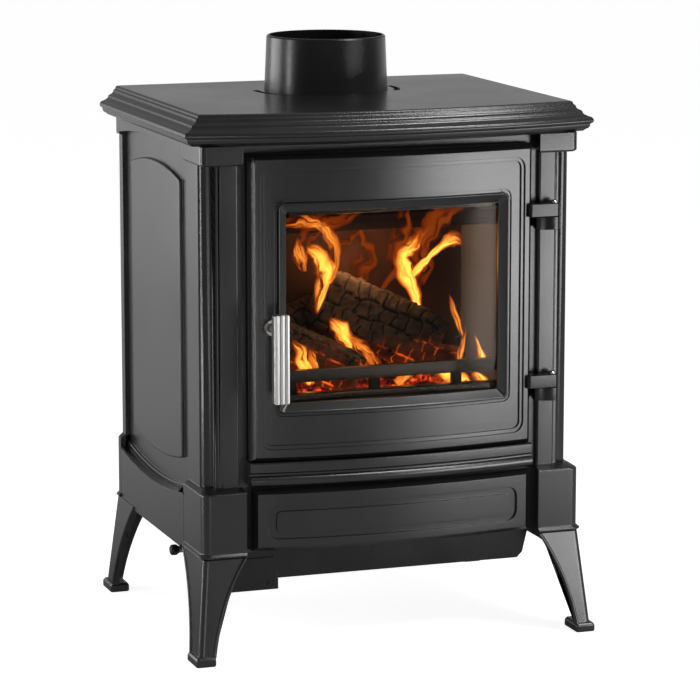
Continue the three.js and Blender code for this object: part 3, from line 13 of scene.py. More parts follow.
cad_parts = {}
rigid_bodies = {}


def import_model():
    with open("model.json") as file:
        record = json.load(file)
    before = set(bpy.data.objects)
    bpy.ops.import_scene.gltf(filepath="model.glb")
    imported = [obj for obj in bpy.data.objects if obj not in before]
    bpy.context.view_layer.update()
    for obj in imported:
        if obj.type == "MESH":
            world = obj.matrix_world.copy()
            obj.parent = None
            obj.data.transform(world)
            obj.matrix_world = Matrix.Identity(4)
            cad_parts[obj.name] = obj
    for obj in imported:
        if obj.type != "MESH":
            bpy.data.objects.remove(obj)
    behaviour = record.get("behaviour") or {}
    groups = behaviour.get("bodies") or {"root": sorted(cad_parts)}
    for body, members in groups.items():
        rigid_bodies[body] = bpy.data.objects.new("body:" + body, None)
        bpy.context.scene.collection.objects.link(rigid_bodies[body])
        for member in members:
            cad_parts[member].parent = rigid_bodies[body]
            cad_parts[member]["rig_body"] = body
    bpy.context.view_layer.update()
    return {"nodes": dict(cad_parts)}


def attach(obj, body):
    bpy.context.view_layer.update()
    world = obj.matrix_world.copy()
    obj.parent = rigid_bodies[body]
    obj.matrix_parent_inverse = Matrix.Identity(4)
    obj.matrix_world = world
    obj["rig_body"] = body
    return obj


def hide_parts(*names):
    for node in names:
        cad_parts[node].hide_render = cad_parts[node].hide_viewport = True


bl_info = {
    "name": "Wood Stove",
    "version": (1, 0, 0),
    "blender": (4, 5, 0),
    "location": "View3D > Sidebar > Stove",
    "description": "Builds the finishes, fittings and fire of a cast-iron wood stove",
    "category": "Object",
}

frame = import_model()
NODES = frame["nodes"]

MM = 0.001
MERGE = 1e-6  # corners that lie nearer than this are one
MID_Y = 9.25 * MM  # the stove's own origin along the depth, in the frame's coordinates
FLAT_ANGLE = math.radians(0.4)  # facets that meet at less than this are one face
BEVEL_ANGLE = math.radians(32)  # edges that bend more than this are rounded
SHARP_ANGLE = math.radians(40)  # edges that bend more than this are shaded crisp
WHITE = (1, 1, 1, 1)
PAINT_IOR = 1.7  # stove paint holds graphite, so it mirrors more than plain paint
GLASS_IOR = 1.19  # low, as the pane's mirroring is faint beside the fire
GLASS_MIRROR = (1, 0.95, 0.88, 1)
# near black of the painted shade along the top plate's vents
VENT_SHADE_BLACK = (0.001, 0.001, 0.001)
HOB_GRAIN = 1.6  # the top plate's grain is coarser than the other castings'
PEEL_SIZE = 0.005  # of the orange peel in the sheets' paint
PEEL_HEIGHT = 0.00008
SOOT_REACH = (0.27, 0.34)  # the heights between which the soot on the lining fades
EMBER_REACH = (0.30, 0.35)  # and those between which the glow of the logs does


# ---------------------------------------------------------------- settings


def colour(name, description, default):
    return FloatVectorProperty(
        name=name, description=description, default=default, size=3, min=0, max=1, subtype="COLOR"
    )


def share(name, description, default):
    return FloatProperty(name=name, description=description, default=default, min=0, max=1, subtype="FACTOR")


def length(name, description, default):
    return FloatProperty(name=name, description=description, default=default, unit="LENGTH")


def amount(name, description, default):
    return FloatProperty(name=name, description=description, default=default, min=0)


def power(name, description, default):
    return FloatProperty(name=name, description=description, default=default, min=0, unit="POWER")


def count(name, description, default):
    return IntProperty(name=name, description=description, default=default, min=0)


class IronSettings(PropertyGroup):
    paint: colour("Paint", "Colour of the painted castings", (0.0125, 0.0130, 0.0135))
    roughness: share("Roughness", "Roughness of the painted castings", 0.25)
    grain: length("Grain", "Size of the sand-cast grain", 0.0019)
    relief: length("Relief", "Height of the sand-cast grain", 0.00012)
    hob: length("Hob relief", "Height of the grain on the top plate", 0.00013)
    edge: length("Edge", "Rounding of the castings' edges", 0.0008)


class SteelSettings(PropertyGroup):
    black: colour("Black", "Colour of the painted sheet steel", (0.006, 0.006, 0.0065))
    roughness: share("Roughness", "Roughness of the painted sheet steel", 0.26)
    gloss: colour("Gloss", "Colour of the hinges and the knob", (0.006, 0.006, 0.0065))
    polished: colour("Polished", "Colour of the handle", (0.60, 0.595, 0.58))
    zinc: colour("Zinc", "Colour of bolts and latch", (0.42, 0.42, 0.41))


class FireSettings(PropertyGroup):
    brick: colour("Brick", "Colour of the firebox lining", (0.15, 0.138, 0.122))
    soot: colour("Sooty brick", "Colour of the lining behind the fire", (0.052, 0.016, 0.007))
    char: colour("Char", "Colour of the burnt logs", (0.066, 0.047, 0.036))
    glow: colour("Glow", "Colour of the embers", (1.0, 0.13, 0.012))
    flame: colour("Flame", "Colour of the flames' bright middle", (1.0, 0.42, 0.055))
    tip: colour("Flame tip", "Colour of the flames' edges and tips", (0.80, 0.11, 0.006))
    brightness: amount("Brightness", "Light of the flames", 2.4)
    warmth: power("Warmth", "Power of the lamp in the fire", 0.55)
    glass: colour("Glass", "Tint of the window", (0.86, 0.82, 0.78))
    lumps: count("Lumps", "How many lumps of charcoal lie on the bed", 150)
    seed: count("Seed", "Seed of the embers' places", 7)


class StudioSettings(PropertyGroup):
    floor: colour("Floor", "Colour of the floor", (0.60, 0.60, 0.60))
    ambient: amount("Ambient", "Light from all round", 0.18)
    backdrop: amount("Backdrop", "Mirrored brightness of the space behind", 0.5)
    key: power("Key", "Power of the lamp behind on the left", 12)
    fill: power("Fill", "Power of the low lamp on the right", 11.5)
    side: power("Side", "Power of the narrow lamp on the left", 4.2)
    high: power("High", "Power of the high lamp on the right", 9)
    front: power("Front", "Power of the low lamp in front", 1.2)
    top: power("Top", "Power of the lamp above", 11)


# ---------------------------------------------------------------- finishes


class Nodes:
    """A node tree, emptied, with short words for filling it."""

    def __init__(self, tree):
        self.tree = tree
        tree.nodes.clear()

    def add(self, kind, inputs=None, **settings):
        node = self.tree.nodes.new("ShaderNode" + kind)
        for key, value in settings.items():
            setattr(node, key, value)
        for key, value in (inputs or {}).items():
            self.feed(node.inputs[key], value)
        return node

    def feed(self, socket, value):
        if isinstance(value, bpy.types.NodeSocket):
            self.tree.links.new(value, socket)
        else:
            socket.default_value = value

    def axes(self, vector):
        """The X, Y and Z sockets of a vector."""
        return self.add("SeparateXYZ", {"Vector": vector}).outputs

    def between(self, value, low, high, source=(0.0, 1.0)):
        """value, mapped from its source range to low and high."""
        inputs = {"Value": value, "From Min": source[0], "From Max": source[1], "To Min": low, "To Max": high}
        return self.add("MapRange", inputs).outputs["Result"]

    def calc(self, operation, *values):
        return self.add("Math", dict(enumerate(values)), operation=operation).outputs["Value"]

    def sum(self, first, second):
        return self.calc("ADD", first, second)

    def less(self, first, second):
        return self.calc("SUBTRACT", first, second)

    def product(self, *factors):
        result = factors[0]
        for factor in factors[1:]:
            result = self.calc("MULTIPLY", result, factor)
        return result


class Finish(Nodes):
    """The node tree of one material, with what the finishes share."""

    def __init__(self, name):
        self.material = bpy.data.materials.new(name)
        self.material.use_nodes = True
        super().__init__(self.material.node_tree)
        self.place = self.add("TexCoord").outputs["Object"]

    def stretched(self, scale):
        return self.add("Mapping", {"Vector": self.place, "Scale": scale}).outputs["Vector"]

    def grain(self, size, detail=3.0, roughness=0.5, place=None):
        """Noise whose features are about as large as size."""
        inputs = {"Vector": place or self.place, "Scale": 1 / size, "Detail": detail, "Roughness": roughness}
        return self.add("TexNoise", inputs).outputs["Fac"]

    def spangle(self, size):
        """Round cells about as large as size, darkest at their middles."""
        inputs = {"Vector": self.place, "Scale": 1 / size}
        return self.add("TexVoronoi", inputs, feature="F1").outputs["Distance"]

    def blend(self, fac, first, second):
        node = self.add("Mix", data_type="RGBA")
        self.feed(node.inputs["Factor"], fac)
        for socket, value in ((node.inputs[6], first), (node.inputs[7], second)):
            self.feed(socket, value if isinstance(value, bpy.types.NodeSocket) else (*value[:3], 1.0))
        return node.outputs[2]

    def bump(self, height, distance):
        return self.add("Bump", {"Height": height, "Distance": distance, "Strength": 1.0}).outputs["Normal"]

    def surface(self, inputs):
        return self.done(self.add("BsdfPrincipled", inputs).outputs["BSDF"])

    def done(self, socket):
        output = self.add("OutputMaterial")
        self.tree.links.new(socket, output.inputs["Surface"])
        return self.material


def tinted(rgb, factor):
    return tuple(min(1.0, c * factor) for c in rgb[:3])


FLUE_Y = 60 * MM + MID_Y
VENT_RADIUS = 86.5 * MM
VENT_BAND = (3.0 * MM, 4.2 * MM)  # how far from the vents' middle line the painted shade is full, and where it ends
VENT_MIDDLE = -14.25 * MM  # the vents' middle and half-length along y, from the flue's axis
VENT_HALF = 27.75 * MM
VENT_FADE = 1 * MM


def vent_painted_shade(finish):
    """Where shade is painted: a narrow near-black band along the two vents beside the flue, for the shade
    inside the slots.
    """
    place = finish.axes(finish.place)
    x, y = place["X"], finish.less(place["Y"], FLUE_Y)
    radius = finish.calc("POWER", finish.sum(finish.product(x, x), finish.product(y, y)), 0.5)
    off = finish.less(radius, VENT_RADIUS)
    band = finish.between(finish.product(off, off), 1.0, 0.0, tuple(w**2 for w in VENT_BAND))
    lengthwise = finish.less(y, VENT_MIDDLE)
    ends = (VENT_HALF**2, (VENT_HALF + VENT_FADE) ** 2)
    return finish.product(band, finish.between(finish.product(lengthwise, lengthwise), 1.0, 0.0, ends))


def iron_finish(name, settings, size, relief, vents=False):
    """High-temperature paint over sand-cast iron: an even grain of a size and relief, with faint clouds."""
    finish = Finish(name)
    paint = settings.paint
    sand = finish.grain(size, detail=3, roughness=0.65)
    swell = finish.grain(size * 4, detail=2)
    clouds = finish.grain(size * 40, detail=3)
    tone = finish.blend(finish.between(clouds, 0, 1, (0.35, 0.65)), tinted(paint, 0.85), tinted(paint, 1.15))
    tone = finish.blend(finish.between(sand, 0, 0.6, (0.52, 0.75)), tone, tinted(paint, 1.6))
    height = finish.sum(sand, finish.product(swell, 0.4))
    rough = finish.between(clouds, settings.roughness - 0.015, settings.roughness + 0.02, (0.3, 0.7))
    if vents:
        # painted shade along the vents: near black, and fully rough so that it mirrors nothing
        soot = vent_painted_shade(finish)
        tone = finish.blend(soot, tone, VENT_SHADE_BLACK)
        rough = finish.between(soot, rough, 1.0)
    bumps = finish.bump(height, relief)
    return finish.surface({"Base Color": tone, "Roughness": rough, "IOR": PAINT_IOR, "Normal": bumps})


def steel_paint_finish(name, paint, roughness):
    """Smooth heat-resistant paint with a faint orange peel."""
    finish = Finish(name)
    waves = finish.grain(PEEL_SIZE, detail=2, roughness=0.55)
    clouds = finish.grain(0.07, detail=3)
    tone = finish.blend(clouds, tinted(paint, 0.8), tinted(paint, 1.25))
    return finish.surface(
        {
            "Base Color": tone,
            "Roughness": finish.between(clouds, roughness - 0.04, roughness + 0.05, (0.3, 0.7)),
            "Normal": finish.bump(waves, PEEL_HEIGHT),
        }
    )


def polished_finish(name, tone, roughness):
    """Polished steel with faint smears and hairlines along Z."""
    finish = Finish(name)
    lines = finish.grain(0.0007, detail=2, place=finish.stretched((1, 1, 0.03)))
    smears = finish.grain(0.02, detail=2)
    wear = finish.sum(lines, smears)
    return finish.surface(
        {
            "Base Color": finish.blend(smears, tinted(tone, 0.94), tinted(tone, 1.06)),
            "Metallic": 1.0,
            "Roughness": finish.between(wear, roughness * 0.9, roughness * 1.15, (0.6, 1.4)),
        }
    )


def zinc_finish(name, tone):
    """Zinc plate with a fine spangle."""
    finish = Finish(name)
    spangle = finish.spangle(0.002)
    dull = finish.grain(0.01)
    return finish.surface(
        {
            "Base Color": finish.blend(spangle, tinted(tone, 0.8), tinted(tone, 1.15)),
            "Metallic": 1.0,
            "Roughness": finish.between(dull, 0.3, 0.55),
            "Normal": finish.bump(dull, 0.00004),
        }
    )


def brick_finish(name, tone, soot=0.0):
    """Firebrick with soot that grows towards the grate."""
    finish = Finish(name)
    speck = finish.grain(0.0016, detail=3, roughness=0.6)
    smoke = finish.grain(0.08, detail=4)
    low = finish.between(finish.axes(finish.place)["Z"], 0.5, 0.0, SOOT_REACH)
    sooty = finish.less(finish.sum(low, smoke), 0.5 - soot)
    mixed = finish.blend(finish.between(sooty, 0, 0.95, (0.0, 0.5)), tone, (0.012, 0.009, 0.007))
    mixed = finish.blend(finish.between(speck, 0, 0.35, (0.45, 0.8)), mixed, tinted(tone, 0.5))
    return finish.surface({"Base Color": mixed, "Roughness": 0.92, "Normal": finish.bump(speck, 0.0002)})


def window_finish(name, tint):
    """Clear stove glass: it shows what lies behind it and mirrors a little, more at a flat angle."""
    finish = Finish(name)
    haze = finish.grain(0.06, detail=3)
    clear = finish.add("BsdfTransparent", {"Color": (*tint[:3], 1)}).outputs["BSDF"]
    rough = finish.between(haze, 0.05, 0.09)
    mirror = finish.add("BsdfGlossy", {"Color": GLASS_MIRROR, "Roughness": rough}).outputs["BSDF"]
    fresnel = finish.add("Fresnel", {"IOR": GLASS_IOR}).outputs["Fac"]
    mix = finish.add("MixShader", {0: fresnel, 1: clear, 2: mirror})
    return finish.done(mix.outputs["Shader"])


def rope_finish(name):
    """Braided glass fibre: slanting strands with a little fuzz."""
    finish = Finish(name)
    strands = {"Vector": finish.place, "Scale": 160.0, "Distortion": 1.5}
    weave = finish.add("TexWave", strands, wave_type="BANDS", bands_direction="DIAGONAL").outputs["Fac"]
    fuzz = finish.grain(0.0015, detail=4)
    tone = finish.blend(weave, (0.02, 0.019, 0.018), (0.06, 0.057, 0.053))
    height = finish.sum(weave, fuzz)
    return finish.surface({"Base Color": tone, "Roughness": 0.95, "Normal": finish.bump(height, 0.0006)})


def log_finish(name, char, glow):
    """Charred wood: the cracks between its checks are black, from their char and from painted shade, and glow
    where they lie low in the fire.
    """
    finish = Finish(name)
    crack = finish.add("Attribute", attribute_name=CRACKS).outputs["Fac"]
    fine = finish.grain(0.003, detail=5, roughness=0.65)
    fibre = finish.grain(0.006, detail=3, place=finish.stretched((0.35, 1.0, 1.0)))
    wide = finish.grain(0.04, detail=3)
    tone = finish.blend(finish.between(fibre, 0, 1, (0.3, 0.7)), tinted(char, 0.55), tinted(char, 1.7))
    ash = finish.between(finish.sum(wide, fine), 0, 0.5, (0.98, 1.3))
    tone = finish.blend(ash, tone, (0.13, 0.105, 0.09))
    # near black in the cracks: black char, with painted shade for the depth that the shallow grooves don't
    # cast
    tone = finish.blend(finish.between(crack, 0, 1, (0.08, 0.5)), tone, (0.002, 0.001, 0.001))
    near = finish.between(finish.axes(finish.place)["Z"], 1.0, 0.0, EMBER_REACH)
    patches = finish.between(wide, 0, 1, (0.42, 0.58))
    lit = finish.product(finish.between(crack, 0.05, 1, (0.2, 0.9)), patches, near)
    return finish.surface(
        {
            "Base Color": tone,
            "Roughness": 0.9,
            "Normal": finish.bump(finish.sum(fine, fibre), 0.0008),
            "Emission Color": (*glow[:3], 1),
            "Emission Strength": finish.product(lit, 2.2),
        }
    )


def ember_finish(name, glow):
    """Glowing charcoal, brightest in its hollows, under a skin of grey ash."""
    finish = Finish(name)
    heat = finish.grain(0.020, detail=3, roughness=0.6)
    fine = finish.grain(0.004, detail=4)
    skin = finish.between(finish.sum(fine, heat), 0, 1, (0.85, 1.15))
    tone = finish.blend(skin, (0.015, 0.008, 0.006), (0.16, 0.12, 0.10))
    hot = finish.between(heat, 0.0, 1.0, (0.45, 0.68))
    red = finish.blend(finish.between(hot, 0, 1, (0.35, 1.0)), (0.5, 0.008, 0.001), (*glow[:3], 1))
    flecks = finish.between(fine, 0.15, 1.0, (0.4, 0.6))
    return finish.surface(
        {
            "Base Color": tone,
            "Roughness": 0.95,
            "Normal": finish.bump(fine, 0.0012),
            "Emission Color": red,
            "Emission Strength": finish.product(hot, flecks, 2.6),
        }
    )


def flame_finish(name, tone, tip, strength, cover, gaps):
    """A thin sheet of flame: streaks along it, yellow where they are dense and clear at its edges."""
    finish = Finish(name)
    sheet = finish.axes(finish.add("UVMap").outputs["UV"])
    across, up = sheet["X"], sheet["Y"]
    wave = finish.grain(0.02, detail=2)
    lane = finish.sum(finish.product(across, 3.2), finish.product(wave, 2.6))
    apart = finish.product(finish.axes(finish.place)["X"], 9.0)
    lanes = finish.add("CombineXYZ", {"X": lane, "Y": finish.product(up, 1.3), "Z": apart}).outputs["Vector"]
    streaks = finish.between(finish.grain(1.0, roughness=0.6, place=lanes), 0.06, 1.5, (gaps, 0.66))
    away = finish.calc("ABSOLUTE", finish.less(across, 0.5))
    core = finish.between(away, 1.0, 0.0, (0.10, 0.5))
    foot = finish.between(up, 0.0, 1.0, (0.0, 0.10))
    end = finish.between(up, 1.0, 0.0, (0.66, 1.0))
    body = finish.product(core, foot, end, streaks)
    hot = finish.blend(finish.between(body, 0, 1, (0.15, 0.72)), tip, tone)
    hot = finish.blend(finish.between(body, 0, 0.7, (0.75, 1.3)), hot, tinted(tone, 1.7))
    light = finish.between(body, strength * 0.3, strength, (0.08, 0.9))
    glow = finish.add("Emission", {"Color": hot, "Strength": light}).outputs["Emission"]
    clear = finish.add("BsdfTransparent").outputs["BSDF"]
    mix = finish.add("MixShader", {0: finish.between(body, 0, cover, (0.04, 0.42)), 1: clear, 2: glow})
    return finish.done(mix.outputs["Shader"])


# ---------------------------------------------------------------- pieces


def scene_settings():
    return bpy.context.scene.stove


def new_object(name, data):
    """An object that is linked into the scene."""
    obj = bpy.data.objects.new(name, data)
    bpy.context.scene.collection.objects.link(obj)
    return obj


def mesh_object(name, bm, material):
    """An object with the shape of a bmesh, which is freed."""
    mesh = bpy.data.meshes.new(name)
    bm.to_mesh(mesh)
    bm.free()
    mesh.materials.append(material)
    return new_object(name, mesh)


def add_piece(name, bm, material, body):
    """Turns a bmesh into a smooth piece that rides on a CAD body."""
    for face in bm.faces:
        face.smooth = True
    piece = mesh_object(name, bm, material)
    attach(piece, body)
    return piece


def mark_sharp(bm):
    """Edges that bend more than SHARP_ANGLE stay crisp in smooth shading."""
    for edge in bm.edges:
        edge.smooth = len(edge.link_faces) == 2 and edge.calc_face_angle(math.pi) < SHARP_ANGLE


def level_normals(piece):
    """Lets the wide flat faces set the shading, so that only the narrow edges look round."""
    modifier = piece.modifiers.new("level faces", "WEIGHTED_NORMAL")
    modifier.keep_sharp = True


def body_of(node):
    return NODES[node]["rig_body"]


def dress(node, material, edge, segments=2):
    """Makes a copy of a CAD node, with merged corners and rounded edges, that stands for it."""
    bm = bmesh.new()
    bm.from_mesh(NODES[node].data)
    bmesh.ops.remove_doubles(bm, verts=bm.verts[:], dist=MERGE)
    bmesh.ops.dissolve_limit(
        bm, angle_limit=FLAT_ANGLE, verts=bm.verts[:], edges=bm.edges[:], use_dissolve_boundaries=False
    )
    crisp = [e for e in bm.edges if len(e.link_faces) == 2 and e.calc_face_angle(0) > BEVEL_ANGLE]
    bmesh.ops.bevel(
        bm,
        geom=crisp,
        offset=edge,
        offset_type="OFFSET",
        segments=segments,
        profile=0.5,
        affect="EDGES",
        clamp_overlap=False,
        material=-1,
    )
    mark_sharp(bm)
    piece = add_piece("dressed_" + node, bm, material, body_of(node))
    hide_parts(node)
    level_normals(piece)


def dress_all(nodes, material, edge):
    for node in nodes:
        dress(node, material, edge)


def carry(node, material):
    """Gives a CAD node that keeps its own shape a finish."""
    for slot in NODES[node].material_slots:
        slot.material = material


# ---------------------------------------------------------------- operators

# The widths of the rounded edges, in metres. The castings' width is a setting.
SHEET_EDGE = 0.0003
FITTING_EDGE = 0.0004
KNOB_EDGE = 0.0005
HANDLE_EDGE = 0.0006
HINGE_EDGE = 0.0008
BRICK_EDGE = 0.001

BOLD_CASTINGS = (
    "front_post_right",
    "front_post_left",
    "rear_post_right",
    "rear_post_left",
    "side_panel_right",
    "side_panel_left",
    "front_leg_right",
    "front_leg_left",
    "front_sill",
)
FINE_CASTINGS = (  # with details so small that they take half the rounding
    "door_frame",
    "ash_drawer_front",
    "rear_leg_right",
    "rear_leg_left",
    "back_plate",
    "base_plate",
    "front_frame",
    "grate",
    "log_retainer",
)
SHEETS = (
    "flue_collar",
    "rear_heat_shield",
    "firebox_side_right",
    "firebox_side_left",
    "firebox_back",
    "firebox_roof",
    "firebox_floor",
    "hearth_shelf",
    "rear_air_duct",
    "base_heat_shield",
    "fixing_bracket",
    "air_shutter",
    "glass_retainer_top",
    "glass_retainer_bottom",
    "ash_pan",
)


class STOVE_OT_castings(Operator):
    """Dress the painted castings with rounded edges and a sand-cast grain"""

    bl_idname = "stove.castings"
    bl_label = "Castings"

    def execute(self, context):
        iron = scene_settings().iron
        hob = iron_finish("hob_iron_paint", iron, iron.grain * HOB_GRAIN, iron.hob, vents=True)
        dress("top_plate", hob, iron.edge)
        material = iron_finish("cast_iron_paint", iron, iron.grain, iron.relief)
        dress_all(BOLD_CASTINGS, material, iron.edge)
        dress_all(FINE_CASTINGS, material, iron.edge / 2)
        return {"FINISHED"}


class STOVE_OT_sheet_steel(Operator):
    """Paint the flue collar, the shell and the shields"""

    bl_idname = "stove.sheet_steel"
    bl_label = "Sheet steel"

    def execute(self, context):
        steel = scene_settings().steel
        dress_all(SHEETS, steel_paint_finish("sheet_steel_paint", steel.black, steel.roughness), SHEET_EDGE)
        return {"FINISHED"}


class STOVE_OT_window(Operator):
    """Glaze the door and lay its rope seal"""

    bl_idname = "stove.window"
    bl_label = "Window"

    def execute(self, context):
        carry("door_glass", window_finish("window_glass", scene_settings().fire.glass))
        dress("door_rope_seal", rope_finish("rope_seal"), SHEET_EDGE)
        return {"FINISHED"}


class STOVE_OT_hinges(Operator):
    """Finish the hinges, their pins and the air knob"""

    bl_idname = "stove.hinges"
    bl_label = "Hinges and knob"

    def execute(self, context):
        steel = scene_settings().steel
        gloss = steel_paint_finish("hinge_gloss_black", steel.gloss, 0.2)
        pin = polished_finish("pin_steel", steel.polished, 0.2)
        for place in ("upper", "lower"):
            dress(f"{place}_door_hinge", gloss, HINGE_EDGE)
            dress(f"{place}_post_hinge", gloss, HINGE_EDGE)
            dress(f"{place}_hinge_pin", pin, FITTING_EDGE)
        dress("air_knob", gloss, KNOB_EDGE)
        return {"FINISHED"}


class STOVE_OT_handle(Operator):
    """Polish the handle and finish the latch and the bolts"""

    bl_idname = "stove.handle"
    bl_label = "Handle and latch"

    def execute(self, context):
        steel = scene_settings().steel
        polished = polished_finish("polished_steel", steel.polished, 0.3)
        zinc = zinc_finish("zinc_plate", steel.zinc)
        dress("handle_bar", polished, HANDLE_EDGE, segments=3)
        dress("handle_spindle", polished, SHEET_EDGE)
        dress_all(("handle_bush", "latch_cam", "latch_keeper", "air_rod"), zinc, FITTING_EDGE)
        for end in ("front", "rear"):
            dress_all((f"{end}_leg_bolt_left", f"{end}_leg_bolt_right"), zinc, FITTING_EDGE)
        return {"FINISHED"}


class STOVE_OT_lining(Operator):
    """Finish the firebox lining"""

    bl_idname = "stove.lining"
    bl_label = "Firebox lining"

    def execute(self, context):
        fire = scene_settings().fire
        brick = brick_finish("firebrick", fire.brick)
        dress_all(("side_lining_right", "side_lining_left"), brick, BRICK_EDGE)
        sooty = brick_finish("sooty_firebrick", fire.soot, soot=0.2)
        dress_all(("back_lining", "baffle_plate"), sooty, BRICK_EDGE)
        return {"FINISHED"}


CRACKS = "cracks"
LOG_RINGS = 110
LOG_SIDES = 96
CAP_RINGS = 4
LANE_WIDTH = 1.25  # of the checks, round the log, as a share of their length

FIRE_TONE = (1.0, 0.52, 0.24)
FIRE_LIGHT = Vector((20, 0, 440)) * MM
FIRE_LIGHT_RADIUS = 45 * MM

BED_HALF = Vector((164 * MM, 68 * MM))
BED_MIDDLE = -26 * MM + MID_Y
BED_FOOT = 264.6 * MM
BED_HEIGHT = 24 * MM
BED_RISE = 0.55  # the ash's height, as a share of the bed's
CHARCOAL_SIZE = (5, 11)  # the smallest and the largest lump's radius, in mm

FLAME_COLUMNS, FLAME_ROWS = 10, 30
FLAME_HOLLOW = 1.2  # how far a sheet's edges lie behind its middle
FLAME_FLUTTER = 0.18  # as a share of the sheet's width

# name, its ends in mm (x, y, z), radius, length of its checks, turn about its own length
LOGS = (
    ("charred_log_upper", (-33, 20, 386), (106, -46, 323), 38, 17, 0.5),
    ("charred_log_lower", (-116, 0, 356), (-2, -70, 306), 29, 11, 1.9),
    ("charred_log_rear", (-120, 22, 330), (40, 24, 386), 24, 15, 0.2),
    ("charred_log_floor", (20, 12, 306), (150, -20, 302), 22, 14, 1.1),
)

# For each kind of flame: how much of the bright colour, light and cover it has, and how dense a streak has
# to be before it shows. Then each flame's spine, from its foot to its tip: x, y, z and width in mm.
FLAMES = {
    "flames_bright": (
        (1.0, 1.0, 1.0, 0.36),
        (
            (
                (-40, -20, 372, 6), (-33, -20, 400, 18), (-25, -20, 421, 30),
                (-33, -20, 438, 30), (-45, -20, 452, 20), (-52, -20, 458, 4),
            ),
            (
                (94, -24, 366, 6), (86, -24, 392, 20), (74, -24, 420, 26),
                (72, -24, 440, 26), (88, -22, 457, 24), (108, -22, 474, 5),
            ),
            (
                (76, -22, 406, 6), (92, -22, 422, 13), (108, -22, 438, 10),
                (124, -22, 449, 14), (140, -22, 456, 24), (149, -22, 446, 4),
            ),
            (
                (-8, -62, 312, 5), (-13, -62, 332, 14), (-17, -62, 350, 26),
                (-28, -60, 366, 24), (-38, -60, 374, 4),
            ),
            ((-68, -84, 298, 12), (-72, -84, 318, 22), (-78, -84, 336, 24), (-92, -82, 356, 5)),
            ((165, -55, 298, 22), (161, -55, 316, 13), (156, -55, 330, 6), (150, -55, 344, 3)),
            ((138, -84, 280, 12), (124, -84, 291, 26), (104, -84, 300, 20), (84, -84, 304, 4)),
            ((166, -80, 276, 10), (152, -80, 290, 18), (136, -80, 300, 4)),
        ),
    ),
    "flames_orange": (
        (0.5, 0.75, 0.8, 0.40),
        (
            (
                (-43, -84, 424, 5), (-36, -84, 448, 13), (-40, -84, 470, 18),
                (-56, -84, 490, 20), (-84, -84, 496, 22), (-124, -84, 488, 4),
            ),
            ((-40, 20, 418, 5), (-47, 20, 438, 22), (-50, 20, 462, 4)),
            ((141, -42, 338, 5), (134, -42, 358, 12), (128, -42, 374, 10), (122, -42, 394, 2)),
            ((130, -52, 306, 8), (136, -52, 326, 9), (142, -52, 352, 2)),
            ((24, -66, 310, 22), (8, -66, 326, 30), (-4, -64, 342, 20), (-14, -62, 354, 4)),
            ((-50, -70, 302, 20), (-58, -70, 322, 22), (-66, -70, 342, 4)),
            ((40, -80, 292, 10), (56, -80, 304, 22), (70, -80, 314, 4)),
            ((-100, -78, 300, 14), (-108, -78, 320, 22), (-104, -78, 342, 4)),
        ),
    ),
    "flames_dim": (
        (0.0, 0.22, 0.6, 0.46),
        (
            ((-80, -84, 462, 20), (-58, -84, 486, 34), (-26, -84, 500, 30), (14, -84, 512, 8)),
            ((30, -84, 440, 14), (46, -84, 470, 30), (52, -84, 494, 34), (48, -84, 514, 20)),
            ((76, -84, 452, 16), (88, -84, 484, 34), (110, -84, 504, 34), (140, -84, 512, 14)),
            ((30, 34, 392, 24), (46, 34, 426, 44), (36, 34, 458, 40), (52, 34, 484, 16)),
            ((58, 24, 388, 6), (76, 20, 410, 13), (88, 12, 432, 14), (94, 8, 452, 3)),
            ((112, 30, 390, 20), (118, 30, 424, 34), (108, 30, 456, 34), (116, 30, 480, 10)),
            ((-2, 34, 420, 10), (10, 34, 446, 26), (30, 34, 462, 24), (52, 34, 466, 6)),
        ),
    ),
}


def smooth_step(value, low, high):
    """0 below low, 1 above high, and a smooth rise between them."""
    t = min(1.0, max(0.0, (value - low) / (high - low)))
    return t * t * (3 - 2 * t)


def along(points, way):
    """The place on a smooth curve through the points, where way runs from 0 to 1 along it."""
    spans = len(points) - 1
    step = min(int(way * spans), spans - 1)
    t = way * spans - step
    a, b, c, d = (points[max(0, min(spans, step + k))] for k in (-1, 0, 1, 2))
    return [
        0.5 * (2 * q + (r - p) * t + (2 * p - 5 * q + 4 * r - s) * t**2 + (3 * q - p - 3 * r + s) * t**3)
        for p, q, r, s in zip(a, b, c, d)
    ]


def flame_sheet(bm, spine):
    """One tongue: a grid bent along its spine and hollowed towards the back of the fire."""
    before = len(bm.verts)
    bmesh.ops.create_grid(bm, x_segments=FLAME_COLUMNS, y_segments=FLAME_ROWS, size=0.5, calc_uvs=True)
    bm.verts.ensure_lookup_table()
    for vert in bm.verts[before:]:
        across, up = vert.co.x, vert.co.y + 0.5
        x, y, z, width = along(spine, up)
        ahead = along(spine, min(1, up + 0.02))
        behind = along(spine, max(0, up - 0.02))
        way = Vector((ahead[0] - behind[0], 0, ahead[2] - behind[2])).normalized()
        side = Vector((way.z, 0, -way.x))
        reach = max(width, 1)
        flutter = noise.noise(Vector((x, y, z)) / 12 + Vector((across, 0, 0))) * FLAME_FLUTTER * reach
        place = Vector((x, y + FLAME_HOLLOW * across**2 * reach, z)) + side * (across * reach + flutter)
        vert.co = place * MM + Vector((0, MID_Y, 0))


def ringed_cylinder(radius, span):
    """A cylinder along Z with enough corners on its side and its ends to be carved."""
    bm = bmesh.new()
    bmesh.ops.create_cone(bm, cap_ends=True, segments=LOG_SIDES, radius1=radius, radius2=radius, depth=span)
    lengthwise = [e for e in bm.edges if abs(e.verts[0].co.z - e.verts[1].co.z) > span / 2]
    bmesh.ops.subdivide_edges(bm, edges=lengthwise, cuts=LOG_RINGS, use_grid_fill=False)
    caps = [f for f in bm.faces if len(f.verts) > 4]
    for _ in range(CAP_RINGS):
        bmesh.ops.inset_region(bm, faces=caps, thickness=radius / 6, use_even_offset=True)
    return bm


